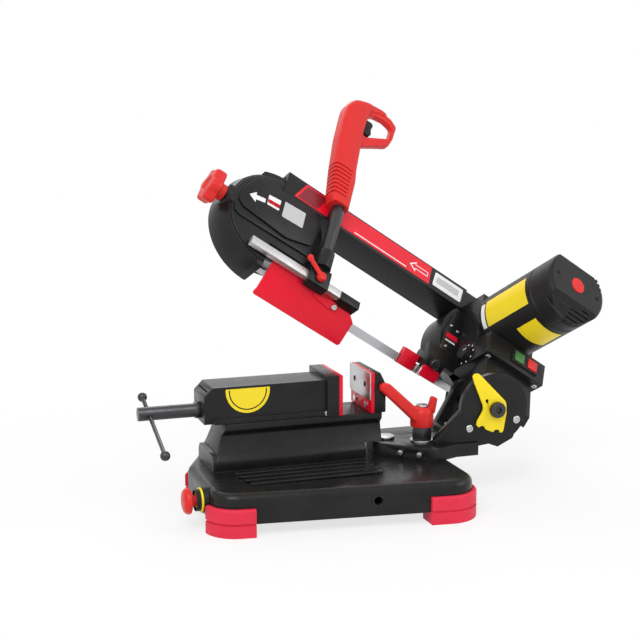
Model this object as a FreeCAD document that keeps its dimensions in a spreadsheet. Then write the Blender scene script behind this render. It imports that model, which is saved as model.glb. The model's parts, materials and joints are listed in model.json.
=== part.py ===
"""A bench-standing portable metal band saw with a vise, in millimetres.

+X points right, towards the hinge and the motor, +Y points to the back, away from the operator,
and +Z points up. The origin is the centre of the four stand bolts, on the underside of the base.
The saw rests with its head raised. Pieces of the head are drawn in one of two frames of their own:
the leaning frame (u along the arm, v from the cutting strand to the return strand, w along the
wheel axles, towards the operator) and the upright frame (u along the arm, y to the back, p square
to both), both with their origin on the cutting strand below the hinge.
"""
import FreeCAD
import Part
import Sketcher
import math
import os

# Driving dimensions, each written once. Lengths are in millimetres, angles in degrees.
DIMENSIONS = {
    # Clearances
    "running_gap": 0.05,
    "seat_gap": 0.1,
    "free_gap": 0.3,
    # Head position: hinge axis, blade plane and the two angles of the raised head
    "hinge_x": 254.0,
    "hinge_z": 112.0,
    "strand_y": 115.0,
    "strand_drop": 5.7,
    "rest_angle": 33.2,
    "lean_angle": 52.0,
    # Base casting
    "base_half_length": 200.0,
    "base_right_trim": 22.0,
    "base_near_left": -110.0,
    "base_near_right": -158.0,
    "base_far": 135.0,
    "base_chamfer_x": 42.0,
    "base_chamfer_y": 85.0,
    "base_height": 43.0,
    "base_wall": 5.0,
    "base_corner": 40.0,
    "base_top_round": 11.0,
    "plinth_left": -174.0,
    "plinth_right": 60.0,
    "plinth_height": 24.0,
    "plinth_flare": 7.0,
    "plinth_edge": 15.0,
    "groove_width": 8.0,
    "groove_depth": 2.0,
    "groove_pitch": 21.0,
    "groove_left": -150.0,
    "groove_right": 40.0,
    "groove_first": -16.0,
    "stand_spacing_x": 260.0,
    "stand_spacing_y": 160.0,
    "stand_hole_radius": 3.4,
    "stand_boss_radius": 9.0,
    "stand_hole_depth": 25.0,
    "side_hole_x": 27.0,
    "side_hole_z": 22.0,
    "side_hole_radius": 6.0,
    "side_boss_radius": 10.0,
    "side_boss_length": 20.0,
    # Rubber feet
    "foot_drop": 17.0,
    "foot_rise": 23.0,
    "foot_proud": 7.0,
    "foot_inset": 30.0,
    "foot_left_length": 63.0,
    "foot_right_length": 84.0,
    "foot_side_length": 60.0,
    # Emergency stop
    "estop_y": -60.0,
    "estop_z": 24.0,
    "estop_housing_radius": 18.5,
    "estop_housing_out": 6.0,
    "estop_ring_radius": 17.5,
    "estop_ring_thick": 3.0,
    "estop_collar_radius": 14.0,
    "estop_collar_length": 7.0,
    "estop_travel": 5.0,
    "estop_head_radius": 18.5,
    "estop_head_length": 15.0,
    "estop_stem_radius": 8.0,
    "estop_block_length": 24.0,
    "estop_block_width": 18.0,
    "estop_block_height": 22.0,
    "gland_share": 0.3,
    "gland_z": 22.0,
    "gland_radius": 9.0,
    "gland_length": 14.0,
    "gland_bore": 4.0,
    # Vise
    "vise_y": 41.0,
    "bed_width": 76.0,
    "bed_left": -168.0,
    "bed_lean": 16.0,
    "bed_right": 88.0,
    "bed_height": 44.0,
    "bed_flange": 10.0,
    "bed_rail": 10.0,
    "bed_waist": 54.0,
    "bed_pocket_width": 40.0,
    "bed_bolt_radius": 4.0,
    "bed_bolt_head": 7.0,
    "bed_bolt_thick": 5.0,
    "bed_bolt_first": -130.0,
    "bed_bolt_pitch": 160.0,
    "jaw_face_x": 66.0,
    "jaw_gap": 42.0,
    "jaw_width": 86.0,
    "jaw_height": 61.0,
    "jaw_plate_thick": 6.0,
    "jaw_steel_thick": 2.0,
    "jaw_steel_height": 41.0,
    "jaw_block_thick": 18.0,
    "jaw_screw_radius": 5.0,
    "jaw_screw_spacing": 46.0,
    "jaw_screw_rise": 10.0,
    "slide_left": -183.0,
    "slide_width": 62.0,
    "slide_height": 53.0,
    "slide_wall": 6.0,
    "slide_chamfer": 13.0,
    "slide_neck": -15.0,
    "slide_head_thick": 18.0,
    "slide_flange_width": 74.0,
    "slide_flange_thick": 8.0,
    "screw_rise": 16.0,
    "screw_radius": 8.0,
    "screw_right": -24.0,
    "screw_collar_radius": 12.0,
    "screw_collar_length": 6.0,
    "screw_tube_radius": 10.0,
    "screw_tube_left": -273.0,
    "screw_tube_gap": 6.0,
    "nut_left": -105.0,
    "nut_length": 20.0,
    "nut_width": 30.0,
    "nut_over": 14.0,
    "tommy_x": -257.0,
    "tommy_radius": 3.0,
    "tommy_angle": 17.6,
    "tommy_up": 47.0,
    "tommy_down": 112.0,
    "tommy_ball": 7.0,
    # Swivel
    "swivel_x": 104.0,
    "swivel_y": 30.0,
    "swivel_turn": 45.0,
    "swivel_pin_radius": 12.0,
    "swivel_head_radius": 14.0,
    "swivel_head_thick": 3.5,
    "swivel_boss_radius": 20.0,
    "swivel_boss_depth": 23.0,
    "plate_thick": 19.2,
    "stud_x": 149.0,
    "stud_y": -5.0,
    "stud_radius": 6.0,
    "stud_slack": 1.0,
    "stud_head_radius": 9.0,
    "stud_head_thick": 3.0,
    "stop_screw_radius": 4.0,
    "stop_screw_out": 7.0,
    "stop_screw_depth": 12.0,
    # Clamp lever
    "lever_washer_radius": 16.0,
    "lever_washer_thick": 12.0,
    "lever_hub_radius": 18.0,
    "lever_hub_height": 41.0,
    "lever_arm_width": 13.0,
    "lever_arm_shift": 6.0,
    # Hinge bracket
    "cheek_near_front": -38.0,
    "cheek_near_thick": 13.0,
    "cheek_near_radius": 54.0,
    "cheek_far_front": 58.0,
    "cheek_far_thick": 12.0,
    "cheek_far_radius": 26.0,
    "bracket_foot_left": 198.0,
    "bracket_foot_right": 226.0,
    "bracket_foot_thick": 9.0,
    "bracket_bolt_radius": 4.0,
    "bracket_bolt_head": 7.0,
    "bracket_bolt_thick": 5.0,
    "bracket_bolt_spacing": 34.0,
    "hinge_pin_radius": 10.0,
    "hinge_pin_over": 4.0,
    "hinge_cap_radius": 12.0,
    "hinge_cap_thick": 8.0,
    "hinge_cap_socket": 5.0,
    "spring_sleeve_length": 16.0,
    "spring_sleeve_radius": 17.0,
    "spring_lever_thick": 3.0,
    "spring_lever_gap": 2.0,
    # Bow: wheel housings and arm
    "wheel_radius": 76.0,
    "wheel_width": 20.0,
    "wheel_rim": 12.0,
    "wheel_web": 6.0,
    "wheel_hub_radius": 22.0,
    "wheel_flange": 2.5,
    "wheel_flange_thick": 1.5,
    "idler_u": -395.0,
    "drive_u": 29.0,
    "idler_housing_gap": 12.5,
    "drive_housing_gap": 11.0,
    "bow_front": 26.0,
    "bow_back": -22.0,
    "bow_wall": 6.0,
    "bow_face": 4.0,
    "tube_below": 16.25,
    "tube_above": 26.75,
    "tube_front": 30.0,
    "throat_idler_left": -390.0,
    "throat_idler_right": -280.0,
    "throat_idler_high": 32.0,
    "throat_drive_right": 9.0,
    "throat_drive_high": 40.0,
    "cover_thick": 3.0,
    # Blade
    "blade_width": 13.0,
    "blade_thick": 0.65,
    "blade_lead": 20.0,
    "blade_twist_idler": -275.0,
    "blade_twist_drive": -55.0,
    # Blade tension
    "axle_radius": 8.0,
    "axle_over": 3.0,
    "carriage_length": 60.0,
    "carriage_width": 40.0,
    "tension_travel": 6.0,
    "tension_w": 17.0,
    "tension_screw_radius": 4.0,
    "tension_screw_reach": 12.0,
    "tension_neck_radius": 14.0,
    "tension_neck_out": 1.5,
    "tension_knob_radius": 25.0,
    "tension_knob_lobe": 8.0,
    "tension_knob_length": 19.0,
    "tension_knob_neck": 11.5,
    "tension_knob_neck_radius": 13.0,
    # Gear case and gears
    "case_left": -24.0,
    "case_right": 92.0,
    "case_top_gap": 7.39,
    "case_front": 80.0,
    "case_wall": 6.0,
    "case_shelf_rise": 20.0,
    "case_box_front": 110.0,
    "case_box_height": 39.5,
    "case_box_gap": 0.625,
    "drive_shaft_radius": 10.0,
    "drive_gear_radius": 35.4,
    "mid_pinion_radius": 5.6,
    "mid_gear_radius": 25.4,
    "motor_pinion_radius": 3.0,
    "mesh_gap": 0.15,
    "gear_width": 12.0,
    "mid_gear_width": 10.0,
    "mid_spindle_radius": 3.5,
    # Motor
    "motor_rise": 30.5,
    "motor_radius": 57.0,
    "motor_wall": 4.0,
    "motor_length": 156.0,
    "motor_cap_length": 9.0,
    "motor_badge_radius": 13.0,
    "motor_badge_thick": 2.0,
    "stator_inner": 32.0,
    "stator_start": 30.0,
    "stator_length": 90.0,
    "rotor_radius": 30.0,
    "rotor_shaft_radius": 5.0,
    # Hinge lug of the head
    "lug_radius": 18.0,
    "lug_left": -16.0,
    "lug_right": 78.0,
    "lug_bite": 3.0,
    # Switches and dial
    "panel_thick": 6.0,
    "button_rise": 21.0,
    "start_u": 36.0,
    "stop_u": 63.0,
    "button_radius": 9.0,
    "button_proud": 2.0,
    "button_travel": 3.0,
    "button_flange": 11.0,
    "button_flange_thick": 2.0,
    "dial_rise": 20.0,
    "dial_w": 60.0,
    "dial_radius": 13.0,
    "dial_length": 10.0,
    "dial_spindle": 3.0,
    # Handle
    "handle_u": -303.0,
    "handle_tube_gap": 5.0,
    "handle_tube_radius": 10.0,
    "handle_tube_wall": 2.5,
    "handle_tube_low": 40.0,
    "handle_tube_reach": 51.0,
    "handle_block_rise": 5.0,
    "handle_block_height": 12.0,
    "handle_block_width": 17.0,
    "grip_width": 28.0,
    "trigger_left": -309.0,
    "trigger_out": 8.0,
    "trigger_low": 177.0,
    "trigger_high": 208.0,
    "trigger_width": 12.0,
    "trigger_travel": 6.0,
    # Sliding front blade guide
    "bar_left": -425.0,
    "bar_right": -258.0,
    "bar_low": 4.0,
    "bar_high": 18.0,
    "bar_back": 31.0,
    "bar_front": 41.0,
    "clamp_left": -321.0,
    "clamp_right": -285.0,
    "clamp_low": -2.0,
    "clamp_step": 30.0,
    "clamp_back": 28.0,
    "clamp_front": 47.0,
    "clamp_high": 62.0,
    "clamp_head_wall": 3.5,
    "guide_left": -252.0,
    "guide_right": -222.0,
    "guide_half_width": 12.0,
    "guide_low": 9.5,
    "guide_high": 30.0,
    "guide_slot": 3.0,
    "guide_wing": 12.0,
    "roller_radius": 5.5,
    "roller_length": 14.0,
    "roller_pin": 2.5,
    "roller_gap": 0.3,
    "guard_front": -14.4,
    "guard_thick": 2.0,
    "lock_hub_radius": 7.0,
    "lock_hub_height": 9.0,
    "lock_arm_length": 32.0,
    "lock_arm_radius": 3.5,
    "lock_u": -303.0,
    "lock_v": 11.0,
    # Fixed rear blade guide
    "rear_left": -80.0,
    "rear_right": -44.0,
    "rear_half_width": 12.0,
    "rear_reach": 28.0,
    "rear_roller_u": -66.0,
    "holder_thick": 10.0,
    "holder_low": 2.0,
    "holder_high": 34.0,
    "rear_guard_left": -109.0,
    "rear_guard_right": -81.0,
    "rear_guard_half": 8.0,
    "rear_guard_low": -8.0,
    "rear_guard_high": 20.0,
    "rear_knob_radius": 8.0,
    "rear_knob_length": 14.0,
}

# Corner points of the outlines, each in the plane that its piece is drawn in.
OUTLINES = {
    "plate": [(78, 12), (150, -58), (190, -42), (226, -42), (226, 82), (120, 83), (84, 58)],
    "cheek": [(158, 62.5), (226, 62.5), (226, 56), (245, 58), (260, 52), (285, 63.5), (300, 100),
              (261, 163), (217, 128), (158, 72)],
    "far_cheek": [(196, 62.5), (226, 62.5), (274, 94), (266, 136), (238, 134)],
    "spring_lever": [(212, 168), (221, 170.5), (230, 165), (266, 131), (272, 120), (270.5, 108),
                     (266, 97.5), (268, 82), (265, 76), (253, 74), (221, 94.5)],
    "lever_arm": [(149, 92), (129, 97), (77, 148), (79, 156), (86, 158.5), (94, 156), (134, 120),
                  (160, 116)],
    "grip": [(-317, 3), (-289, 3), (-289.5, 60), (-294, 90), (-295, 142), (-290, 152), (-260, 174),
             (-246.5, 183), (-241.5, 204), (-240, 235), (-254, 244), (-276, 247), (-306, 242),
             (-333, 230), (-345, 207), (-343, 136), (-336, 72), (-328, 19)],
    "grip_loop": [(-292, 171), (-249.5, 201), (-249.5, 226), (-266, 228), (-281, 222.5), (-289, 213)],
    "guard": [(-371, 24), (-236, 26), (-212, 7), (-213, -32), (-216, -35), (-374, -35), (-371, -24)],
}


class Size:
    """A number together with the sheet expression that it comes from."""

    def __init__(self, number, text, bound):
        self.number = number
        self.text = text
        self.bound = bound

    def __add__(self, other):
        return combine(self, "+", other)

    def __radd__(self, other):
        return combine(other, "+", self)

    def __sub__(self, other):
        return combine(self, "-", other)

    def __rsub__(self, other):
        return combine(other, "-", self)

    def __mul__(self, other):
        return combine(self, "*", other)

    def __rmul__(self, other):
        return combine(other, "*", self)

    def __truediv__(self, other):
        return combine(self, "/", other)

    def __neg__(self):
        return Size(-self.number, "(-" + self.text + ")", self.bound)

    def root(self):
        return Size(math.sqrt(self.number), "sqrt(" + self.text + ")", self.bound)

    def cos(self):
        return Size(math.cos(math.radians(self.number)), "cos(" + self.text + ")", self.bound)

    def sin(self):
        return Size(math.sin(math.radians(self.number)), "sin(" + self.text + ")", self.bound)


def as_size(value):
    if isinstance(value, Size):
        return value
    return Size(float(value), "({:.6f})".format(value), False)


def combine(first, sign, second):
    first = as_size(first)
    second = as_size(second)
    numbers = {
        "+": lambda: first.number + second.number,
        "-": lambda: first.number - second.number,
        "*": lambda: first.number * second.number,
        "/": lambda: first.number / second.number,
    }
    text = "(" + first.text + " " + sign + " " + second.text + ")"
    return Size(numbers[sign](), text, first.bound or second.bound)


class Sheet:
    """The driving dimensions as a sheet, read back as sizes by their names."""

    def __init__(self, document):
        self.table = document.addObject("Spreadsheet::Sheet", "Sizes")
        self.numbers = {}
        for name, number in DIMENSIONS.items():
            self.write(name, number)
        for name, points in OUTLINES.items():
            for index, (first, second) in enumerate(points):
                self.write("{}_point_{}_a".format(name, index), first)
                self.write("{}_point_{}_b".format(name, index), second)

    def write(self, name, number):
        row = len(self.numbers) + 1
        self.table.set("A{}".format(row), name)
        self.table.set("B{}".format(row), str(number))
        self.table.setAlias("B{}".format(row), name)
        self.numbers[name] = float(number)

    def __getattr__(self, name):
        return Size(self.numbers[name], "Sizes." + name, True)

    def outline(self, name):
        points = []
        for index in range(len(OUTLINES[name])):
            first = getattr(self, "{}_point_{}_a".format(name, index))
            second = getattr(self, "{}_point_{}_b".format(name, index))
            points.append((first, second))
        return points


doc = FreeCAD.newDocument("band_saw")
dim = Sheet(doc)
doc.recompute()
SUBPARTS = []

TO_AXIS = {
    "X": FreeCAD.Rotation(FreeCAD.Vector(0, 1, 0), 90),
    "Y": FreeCAD.Rotation(FreeCAD.Vector(1, 0, 0), -90),
    "Z": FreeCAD.Rotation(),
}
TO_PLANE = {
    "XY": FreeCAD.Rotation(),
    "XZ": FreeCAD.Rotation(FreeCAD.Vector(1, 0, 0), 90),
    "YZ": FreeCAD.Rotation(FreeCAD.Vector(1, 1, 1), 120),
}
TOUCH = 1e-4


def bind(item, prop, value):
    value = as_size(value)
    setattr(item, prop, value.number)
    if value.bound:
        item.setExpression(prop, value.text)


def place(item, base, rotation=FreeCAD.Rotation()):
    base = [as_size(value) for value in base]
    item.Placement = FreeCAD.Placement(FreeCAD.Vector(*[value.number for value in base]), rotation)
    for letter, value in zip("xyz", base):
        if value.bound:
            item.setExpression("Placement.Base." + letter, value.text)
    return item


def box(x_span, y_span, z_span):
    item = doc.addObject("Part::Box", "Block")
    bind(item, "Length", x_span[1] - x_span[0])
    bind(item, "Width", y_span[1] - y_span[0])
    bind(item, "Height", z_span[1] - z_span[0])
    return place(item, (x_span[0], y_span[0], z_span[0]))


def axis_point(axis, centre, start):
    points = {
        "X": (start, centre[0], centre[1]),
        "Y": (centre[0], start, centre[1]),
        "Z": (centre[0], centre[1], start),
    }
    return points[axis]


def cylinder(axis, centre, span, radius):
    item = doc.addObject("Part::Cylinder", "Round")
    bind(item, "Radius", radius)
    bind(item, "Height", span[1] - span[0])
    return place(item, axis_point(axis, centre, span[0]), TO_AXIS[axis])


def ball(centre, radius):
    item = doc.addObject("Part::Sphere", "Ball")
    bind(item, "Radius", radius)
    return place(item, centre)


def rod(start, end, radius):
    start = [as_size(value) for value in start]
    end = [as_size(value) for value in end]
    steps = [last - first for first, last in zip(start, end)]
    length = (steps[0] * steps[0] + steps[1] * steps[1] + steps[2] * steps[2]).root()
    heading = FreeCAD.Vector(*[step.number for step in steps])
    item = doc.addObject("Part::Cylinder", "Rod")
    bind(item, "Radius", radius)
    bind(item, "Height", length)
    return place(item, start, FreeCAD.Rotation(FreeCAD.Vector(0, 0, 1), heading))


def fuse(*items):
    item = doc.addObject("Part::MultiFuse", "Joined")
    item.Shapes = list(items)
    item.Refine = True
    return item


def cut(body, *tools):
    item = doc.addObject("Part::Cut", "Trimmed")
    item.Base = body
    item.Tool = tools[0] if len(tools) == 1 else fuse(*tools)
    return item


def common(first, second):
    item = doc.addObject("Part::Common", "Shared")
    item.Base = first
    item.Tool = second
    return item


def group(*items):
    item = doc.addObject("Part::Compound", "Set")
    item.Links = list(items)
    return item


def draw(sketch, points):
    points = [(as_size(first), as_size(second)) for first, second in points]
    count = len(points)
    for index in range(count):
        first = points[index]
        last = points[(index + 1) % count]
        line = Part.LineSegment(FreeCAD.Vector(first[0].number, first[1].number, 0),
                                FreeCAD.Vector(last[0].number, last[1].number, 0))
        sketch.addGeometry(line, False)
    for index in range(count):
        following = (index + 1) % count
        sketch.addConstraint(Sketcher.Constraint("Coincident", index, 2, following, 1))
    for index, point in enumerate(points):
        for kind, value in zip(("DistanceX", "DistanceY"), point):
            number = sketch.addConstraint(Sketcher.Constraint(kind, -1, 1, index, 1, value.number))
            if value.bound:
                sketch.setExpression("Constraints[{}]".format(number), value.text)


def sketch_in(body, points):
    sketch = body.newObject("Sketcher::SketchObject", "Outline")
    plane = [item for item in body.Origin.OriginFeatures if item.Role == "XY_Plane"][0]
    sketch.AttachmentSupport = (plane, [""])
    sketch.MapMode = "FlatFace"
    draw(sketch, points)
    return sketch


def round_edges(body, feature, radius, wanted):
    doc.recompute()
    names = []
    for index, edge in enumerate(feature.Shape.Edges):
        if wanted(edge):
            names.append("Edge{}".format(index + 1))
    rounded = body.newObject("PartDesign::Fillet", "Rounded")
    rounded.Base = (feature, names)
    bind(rounded, "Radius", radius)
    return rounded


def corner_edge(point):
    def wanted(edge):
        ends = [vertex.Point for vertex in edge.Vertexes]
        if len(ends) < 2 or abs(ends[0].z - ends[1].z) < TOUCH:
            return False
        at_point = [math.hypot(end.x - point[0].number, end.y - point[1].number) < TOUCH for end in ends]
        return all(at_point)
    return wanted


def level_edge(height):
    def wanted(edge):
        return all(abs(vertex.Point.z - height) < TOUCH for vertex in edge.Vertexes)
    return wanted


def prism(plane, points, span, corners=(), top_round=None, bottom_round=None):
    points = [(as_size(first), as_size(second)) for first, second in points]
    length = as_size(span[1] - span[0])
    body = doc.addObject("PartDesign::Body", "Prism")
    pad = body.newObject("PartDesign::Pad", "Pad")
    pad.Profile = sketch_in(body, points)
    bind(pad, "Length", length)
    feature = pad
    for index, radius in corners:
        feature = round_edges(body, feature, radius, corner_edge(points[index]))
    if top_round is not None:
        feature = round_edges(body, feature, top_round, level_edge(length.number))
    if bottom_round is not None:
        feature = round_edges(body, feature, bottom_round, level_edge(0.0))
    body.Tip = feature
    bases = {"XY": (0, 0, span[0]), "XZ": (0, span[1], 0), "YZ": (span[0], 0, 0)}
    return place(body, bases[plane], TO_PLANE[plane])


def sub(label, item, frame=None):
    if frame is not None:
        item = group(item)
        item.Placement = frame
    item.Label = label
    SUBPARTS.append(item)
    return item


def about(middle, width):
    return (middle - width / 2, middle + width / 2)


# Frames of the head
rest = math.radians(dim.rest_angle.number)
lean = math.radians(dim.lean_angle.number)
along = FreeCAD.Vector(math.cos(rest), 0, -math.sin(rest))
raised = FreeCAD.Vector(math.sin(rest), 0, math.cos(rest))
back = FreeCAD.Vector(0, 1, 0)
leaning = raised * math.sin(lean) + back * math.cos(lean)
facing = raised * math.cos(lean) - back * math.sin(lean)
hinge_point = FreeCAD.Vector(dim.hinge_x.number, dim.strand_y.number, dim.hinge_z.number)
strand_point = hinge_point - raised * dim.strand_drop.number


def frame_of(first, second, third):
    matrix = FreeCAD.Matrix(first.x, second.x, third.x, strand_point.x,
                            first.y, second.y, third.y, strand_point.y,
                            first.z, second.z, third.z, strand_point.z, 0, 0, 0, 1)
    return FreeCAD.Placement(matrix)


LEANING = frame_of(along, leaning, facing)
UPRIGHT = frame_of(along, back, raised)

# Levels and places that several pieces share
base_top = dim.base_height
bed_seat = base_top + dim.plinth_height
bed_top = bed_seat + dim.bed_height
plate_low = base_top + dim.free_gap
plate_top = plate_low + dim.plate_thick
bed_side = about(dim.vise_y, dim.bed_width)
wheel_v = dim.wheel_radius + dim.free_gap + dim.blade_thick / 2
inner_front = dim.bow_front - dim.bow_face
cheek_near = (dim.cheek_near_front, dim.cheek_near_front + dim.cheek_near_thick)
cheek_far = (dim.cheek_far_front, dim.cheek_far_front + dim.cheek_far_thick)
hinge_at = (dim.hinge_x, dim.hinge_z)
stud_at = (dim.stud_x, dim.stud_y)
swivel_at = (dim.swivel_x, dim.swivel_y)
idler_at = (dim.idler_u, wheel_v)
drive_at = (dim.drive_u, wheel_v)
motor_at = (dim.drive_u, wheel_v + dim.motor_rise)
screw_at = (dim.vise_y, bed_top + dim.screw_rise)
gland_at = (dim.base_half_length * dim.gland_share, dim.gland_z)
idler_housing = dim.wheel_radius + dim.idler_housing_gap
housing_at = (dim.idler_u + dim.tension_travel / 2, wheel_v)
rim_left = housing_at[0] - idler_housing
drive_housing = dim.wheel_radius + dim.drive_housing_gap
tube_low = wheel_v * 2 - dim.tube_below
tube_high = wheel_v * 2 + dim.tube_above
case_box_high = motor_at[1] - dim.motor_radius - dim.case_box_gap
case_low = case_box_high - dim.case_box_height
drive_reach = dim.drive_gear_radius + dim.mid_pinion_radius
motor_reach = dim.mid_gear_radius + dim.motor_pinion_radius
mid_rise = (drive_reach * drive_reach - motor_reach * motor_reach + dim.motor_rise * dim.motor_rise) / (
    dim.motor_rise * 2)
mid_at = (dim.drive_u + (drive_reach * drive_reach - mid_rise * mid_rise).root(), wheel_v + mid_rise)
case_high = mid_at[1] + dim.mid_gear_radius + dim.case_top_gap + dim.case_wall
case_shelf = case_low + dim.case_shelf_rise
button_v = case_low + dim.button_rise
button_out = dim.button_travel + dim.button_proud
dial_at = (case_low + dim.dial_rise, dim.dial_w)
handle_w = dim.tube_front + dim.handle_tube_gap + dim.handle_tube_radius
handle_block_low = tube_low + dim.handle_block_rise
handle_block_high = handle_block_low + dim.handle_block_height
handle_tube_high = handle_block_high + dim.handle_tube_reach


def base_outline(grow):
    half = dim.base_half_length + grow
    right = half - dim.base_right_trim
    far = dim.base_far + grow
    return [
        (-half, dim.base_near_left - grow),
        (right, dim.base_near_right - grow),
        (right, far),
        (dim.base_chamfer_x - half, far),
        (-half, far - dim.base_chamfer_y),
    ]


def base_prism(grow, span, top_round=None):
    radius = dim.base_corner + grow
    corners = [(index, radius) for index in range(5)]
    return prism("XY", base_outline(grow), span, corners, top_round)


def stand_points():
    for side_x in (-0.5, 0.5):
        for side_y in (-0.5, 0.5):
            yield (dim.stand_spacing_x * side_x, dim.stand_spacing_y * side_y)


def side_bore(radius, start, end):
    """A round bar square to the slanted near side, from start to end inwards of that side."""
    run = dim.base_half_length * 2 - dim.base_right_trim
    fall = dim.base_near_right - dim.base_near_left
    slope = (run * run + fall * fall).root()
    inward = (-(fall / slope), run / slope)
    side_y = dim.base_near_left + fall * (dim.side_hole_x + dim.base_half_length) / run
    ends = []
    for depth in (start, end):
        ends.append((dim.side_hole_x + inward[0] * depth, side_y + inward[1] * depth, dim.side_hole_z))
    return rod(ends[0], ends[1], radius)


def base_casting():
    shell = base_prism(0, (0, base_top), dim.base_top_round)
    inner_top = base_top - dim.base_wall
    hollow = base_prism(-dim.base_wall, (0, inner_top))
    foot_side = (bed_side[0] - dim.plinth_flare, bed_side[1] + dim.plinth_flare)
    foot_top = base_top + dim.plinth_edge
    section = [(foot_side[0], inner_top), (foot_side[1], inner_top), (foot_side[1], foot_top),
               (bed_side[1], bed_seat), (bed_side[0], bed_seat), (foot_side[0], foot_top)]
    plinth = prism("YZ", section, (dim.plinth_left, dim.plinth_right))
    plinth_hollow = box((dim.plinth_left + dim.base_wall, dim.plinth_right - dim.base_wall),
                        (bed_side[0] + dim.base_wall, bed_side[1] - dim.base_wall),
                        (0, bed_seat - dim.base_wall))
    housing_left = -dim.base_half_length - dim.estop_housing_out
    housing = cylinder("X", (dim.estop_y, dim.estop_z),
                       (housing_left, dim.base_wall * 2 - dim.base_half_length), dim.estop_housing_radius)
    bosses = [cylinder("Z", point, (0, inner_top + 1), dim.stand_boss_radius) for point in stand_points()]
    boss_low = base_top - dim.swivel_boss_depth
    bosses.append(cylinder("Z", swivel_at, (boss_low, inner_top + 1), dim.swivel_boss_radius))
    bosses.append(cylinder("Z", stud_at, (boss_low, inner_top + 1), dim.swivel_boss_radius))
    side_boss = side_bore(dim.side_boss_radius, dim.base_wall / 2, dim.side_boss_length)
    bolt_holes = []
    for x_place in bed_bolt_places():
        bolt_holes.append(cylinder("Z", (x_place, dim.vise_y), (0, bed_seat + 1),
                                   dim.bed_bolt_radius + dim.seat_gap))
    casting = cut(fuse(shell, plinth, housing), hollow, plinth_hollow)
    holes = [cylinder("Z", point, (-1, dim.stand_hole_depth), dim.stand_hole_radius)
             for point in stand_points()]
    holes.append(cylinder("Z", swivel_at, (0, base_top + 1), dim.swivel_pin_radius + dim.seat_gap))
    holes.append(cylinder("Z", stud_at, (0, base_top + 1), dim.stud_radius + dim.seat_gap))
    holes.append(side_bore(dim.side_hole_radius, -dim.base_wall, dim.side_boss_length + 1))
    holes.append(cylinder("X", (dim.estop_y, dim.estop_z), (housing_left - 1, 0),
                          dim.estop_stem_radius + dim.running_gap))
    holes.append(cylinder("Y", gland_at, (0, dim.base_far + 1),
                          dim.gland_radius - dim.base_wall / 2 + dim.seat_gap))
    for index in range(4):
        near = dim.groove_first - dim.groove_pitch * index
        holes.append(box((dim.groove_left, dim.groove_right), (near - dim.groove_width, near),
                         (base_top - dim.groove_depth, base_top + 1)))
    return cut(fuse(casting, side_boss, *bosses), *holes, *bolt_holes)


def bed_bolt_places():
    return [dim.bed_bolt_first + dim.bed_bolt_pitch * index for index in range(2)]


def base_feet():
    block = base_prism(dim.foot_proud, (-dim.foot_drop, dim.foot_rise), dim.foot_proud / 2)
    inside = base_prism(dim.seat_gap, (0, dim.foot_rise + 1))
    hollow = base_prism(-dim.foot_inset, (-dim.foot_drop - 1, 1))
    reach = dim.base_half_length + dim.foot_proud + 1
    height = (-dim.foot_drop - 1, dim.foot_rise + 1)
    left = (-reach, dim.foot_left_length - reach)
    right_reach = reach - dim.base_right_trim
    right = (right_reach - dim.foot_right_length, right_reach)
    far = (dim.base_far - dim.foot_side_length, dim.base_far + dim.foot_proud + 1)
    near_left = (dim.base_near_left - dim.foot_proud * 3,
                 dim.estop_y - dim.estop_housing_radius - dim.foot_proud / 2)
    near_right = (dim.base_near_right - dim.foot_proud * 3, dim.base_near_right + dim.foot_side_length)
    far_left = (-reach, dim.foot_right_length - reach)
    corners = fuse(box(left, near_left, height), box(right, near_right, height),
                   box(right, far, height), box(far_left, far, height))
    return cut(common(block, corners), inside, hollow)


estop_face = -dim.base_half_length - dim.estop_housing_out
estop_at = (dim.estop_y, dim.estop_z)


def estop_ring():
    ring = cylinder("X", estop_at, (estop_face - dim.estop_ring_thick, estop_face), dim.estop_ring_radius)
    collar = cylinder("X", estop_at, (estop_face - dim.estop_collar_length, estop_face),
                      dim.estop_collar_radius)
    bore = cylinder("X", estop_at, (estop_face - dim.estop_collar_length - 1, estop_face + 1),
                    dim.estop_stem_radius + dim.running_gap)
    return cut(fuse(ring, collar), bore)


def estop_button():
    head_right = estop_face - dim.estop_collar_length - dim.estop_travel - dim.free_gap
    head = cylinder("X", estop_at, (head_right - dim.estop_head_length, head_right), dim.estop_head_radius)
    stem_right = dim.base_wall - dim.base_half_length - dim.estop_travel - dim.free_gap
    stem = cylinder("X", estop_at, (head_right - 1, stem_right), dim.estop_stem_radius)
    return fuse(head, stem)


def estop_contact_block():
    left = dim.base_wall - dim.base_half_length
    return box((left, left + dim.estop_block_length), about(dim.estop_y, dim.estop_block_width),
               about(dim.estop_z - dim.base_wall, dim.estop_block_height))


def cord_gland():
    bush = cylinder("Y", gland_at, (dim.base_far - dim.base_wall, dim.base_far),
                    dim.gland_radius - dim.base_wall / 2)
    head = cylinder("Y", gland_at, (dim.base_far, dim.base_far + dim.gland_length),
                    dim.gland_radius)
    bore = cylinder("Y", gland_at,
                    (dim.base_far - dim.base_wall - 1, dim.base_far + dim.gland_length + 1), dim.gland_bore)
    return cut(fuse(bush, head), bore)


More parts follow.
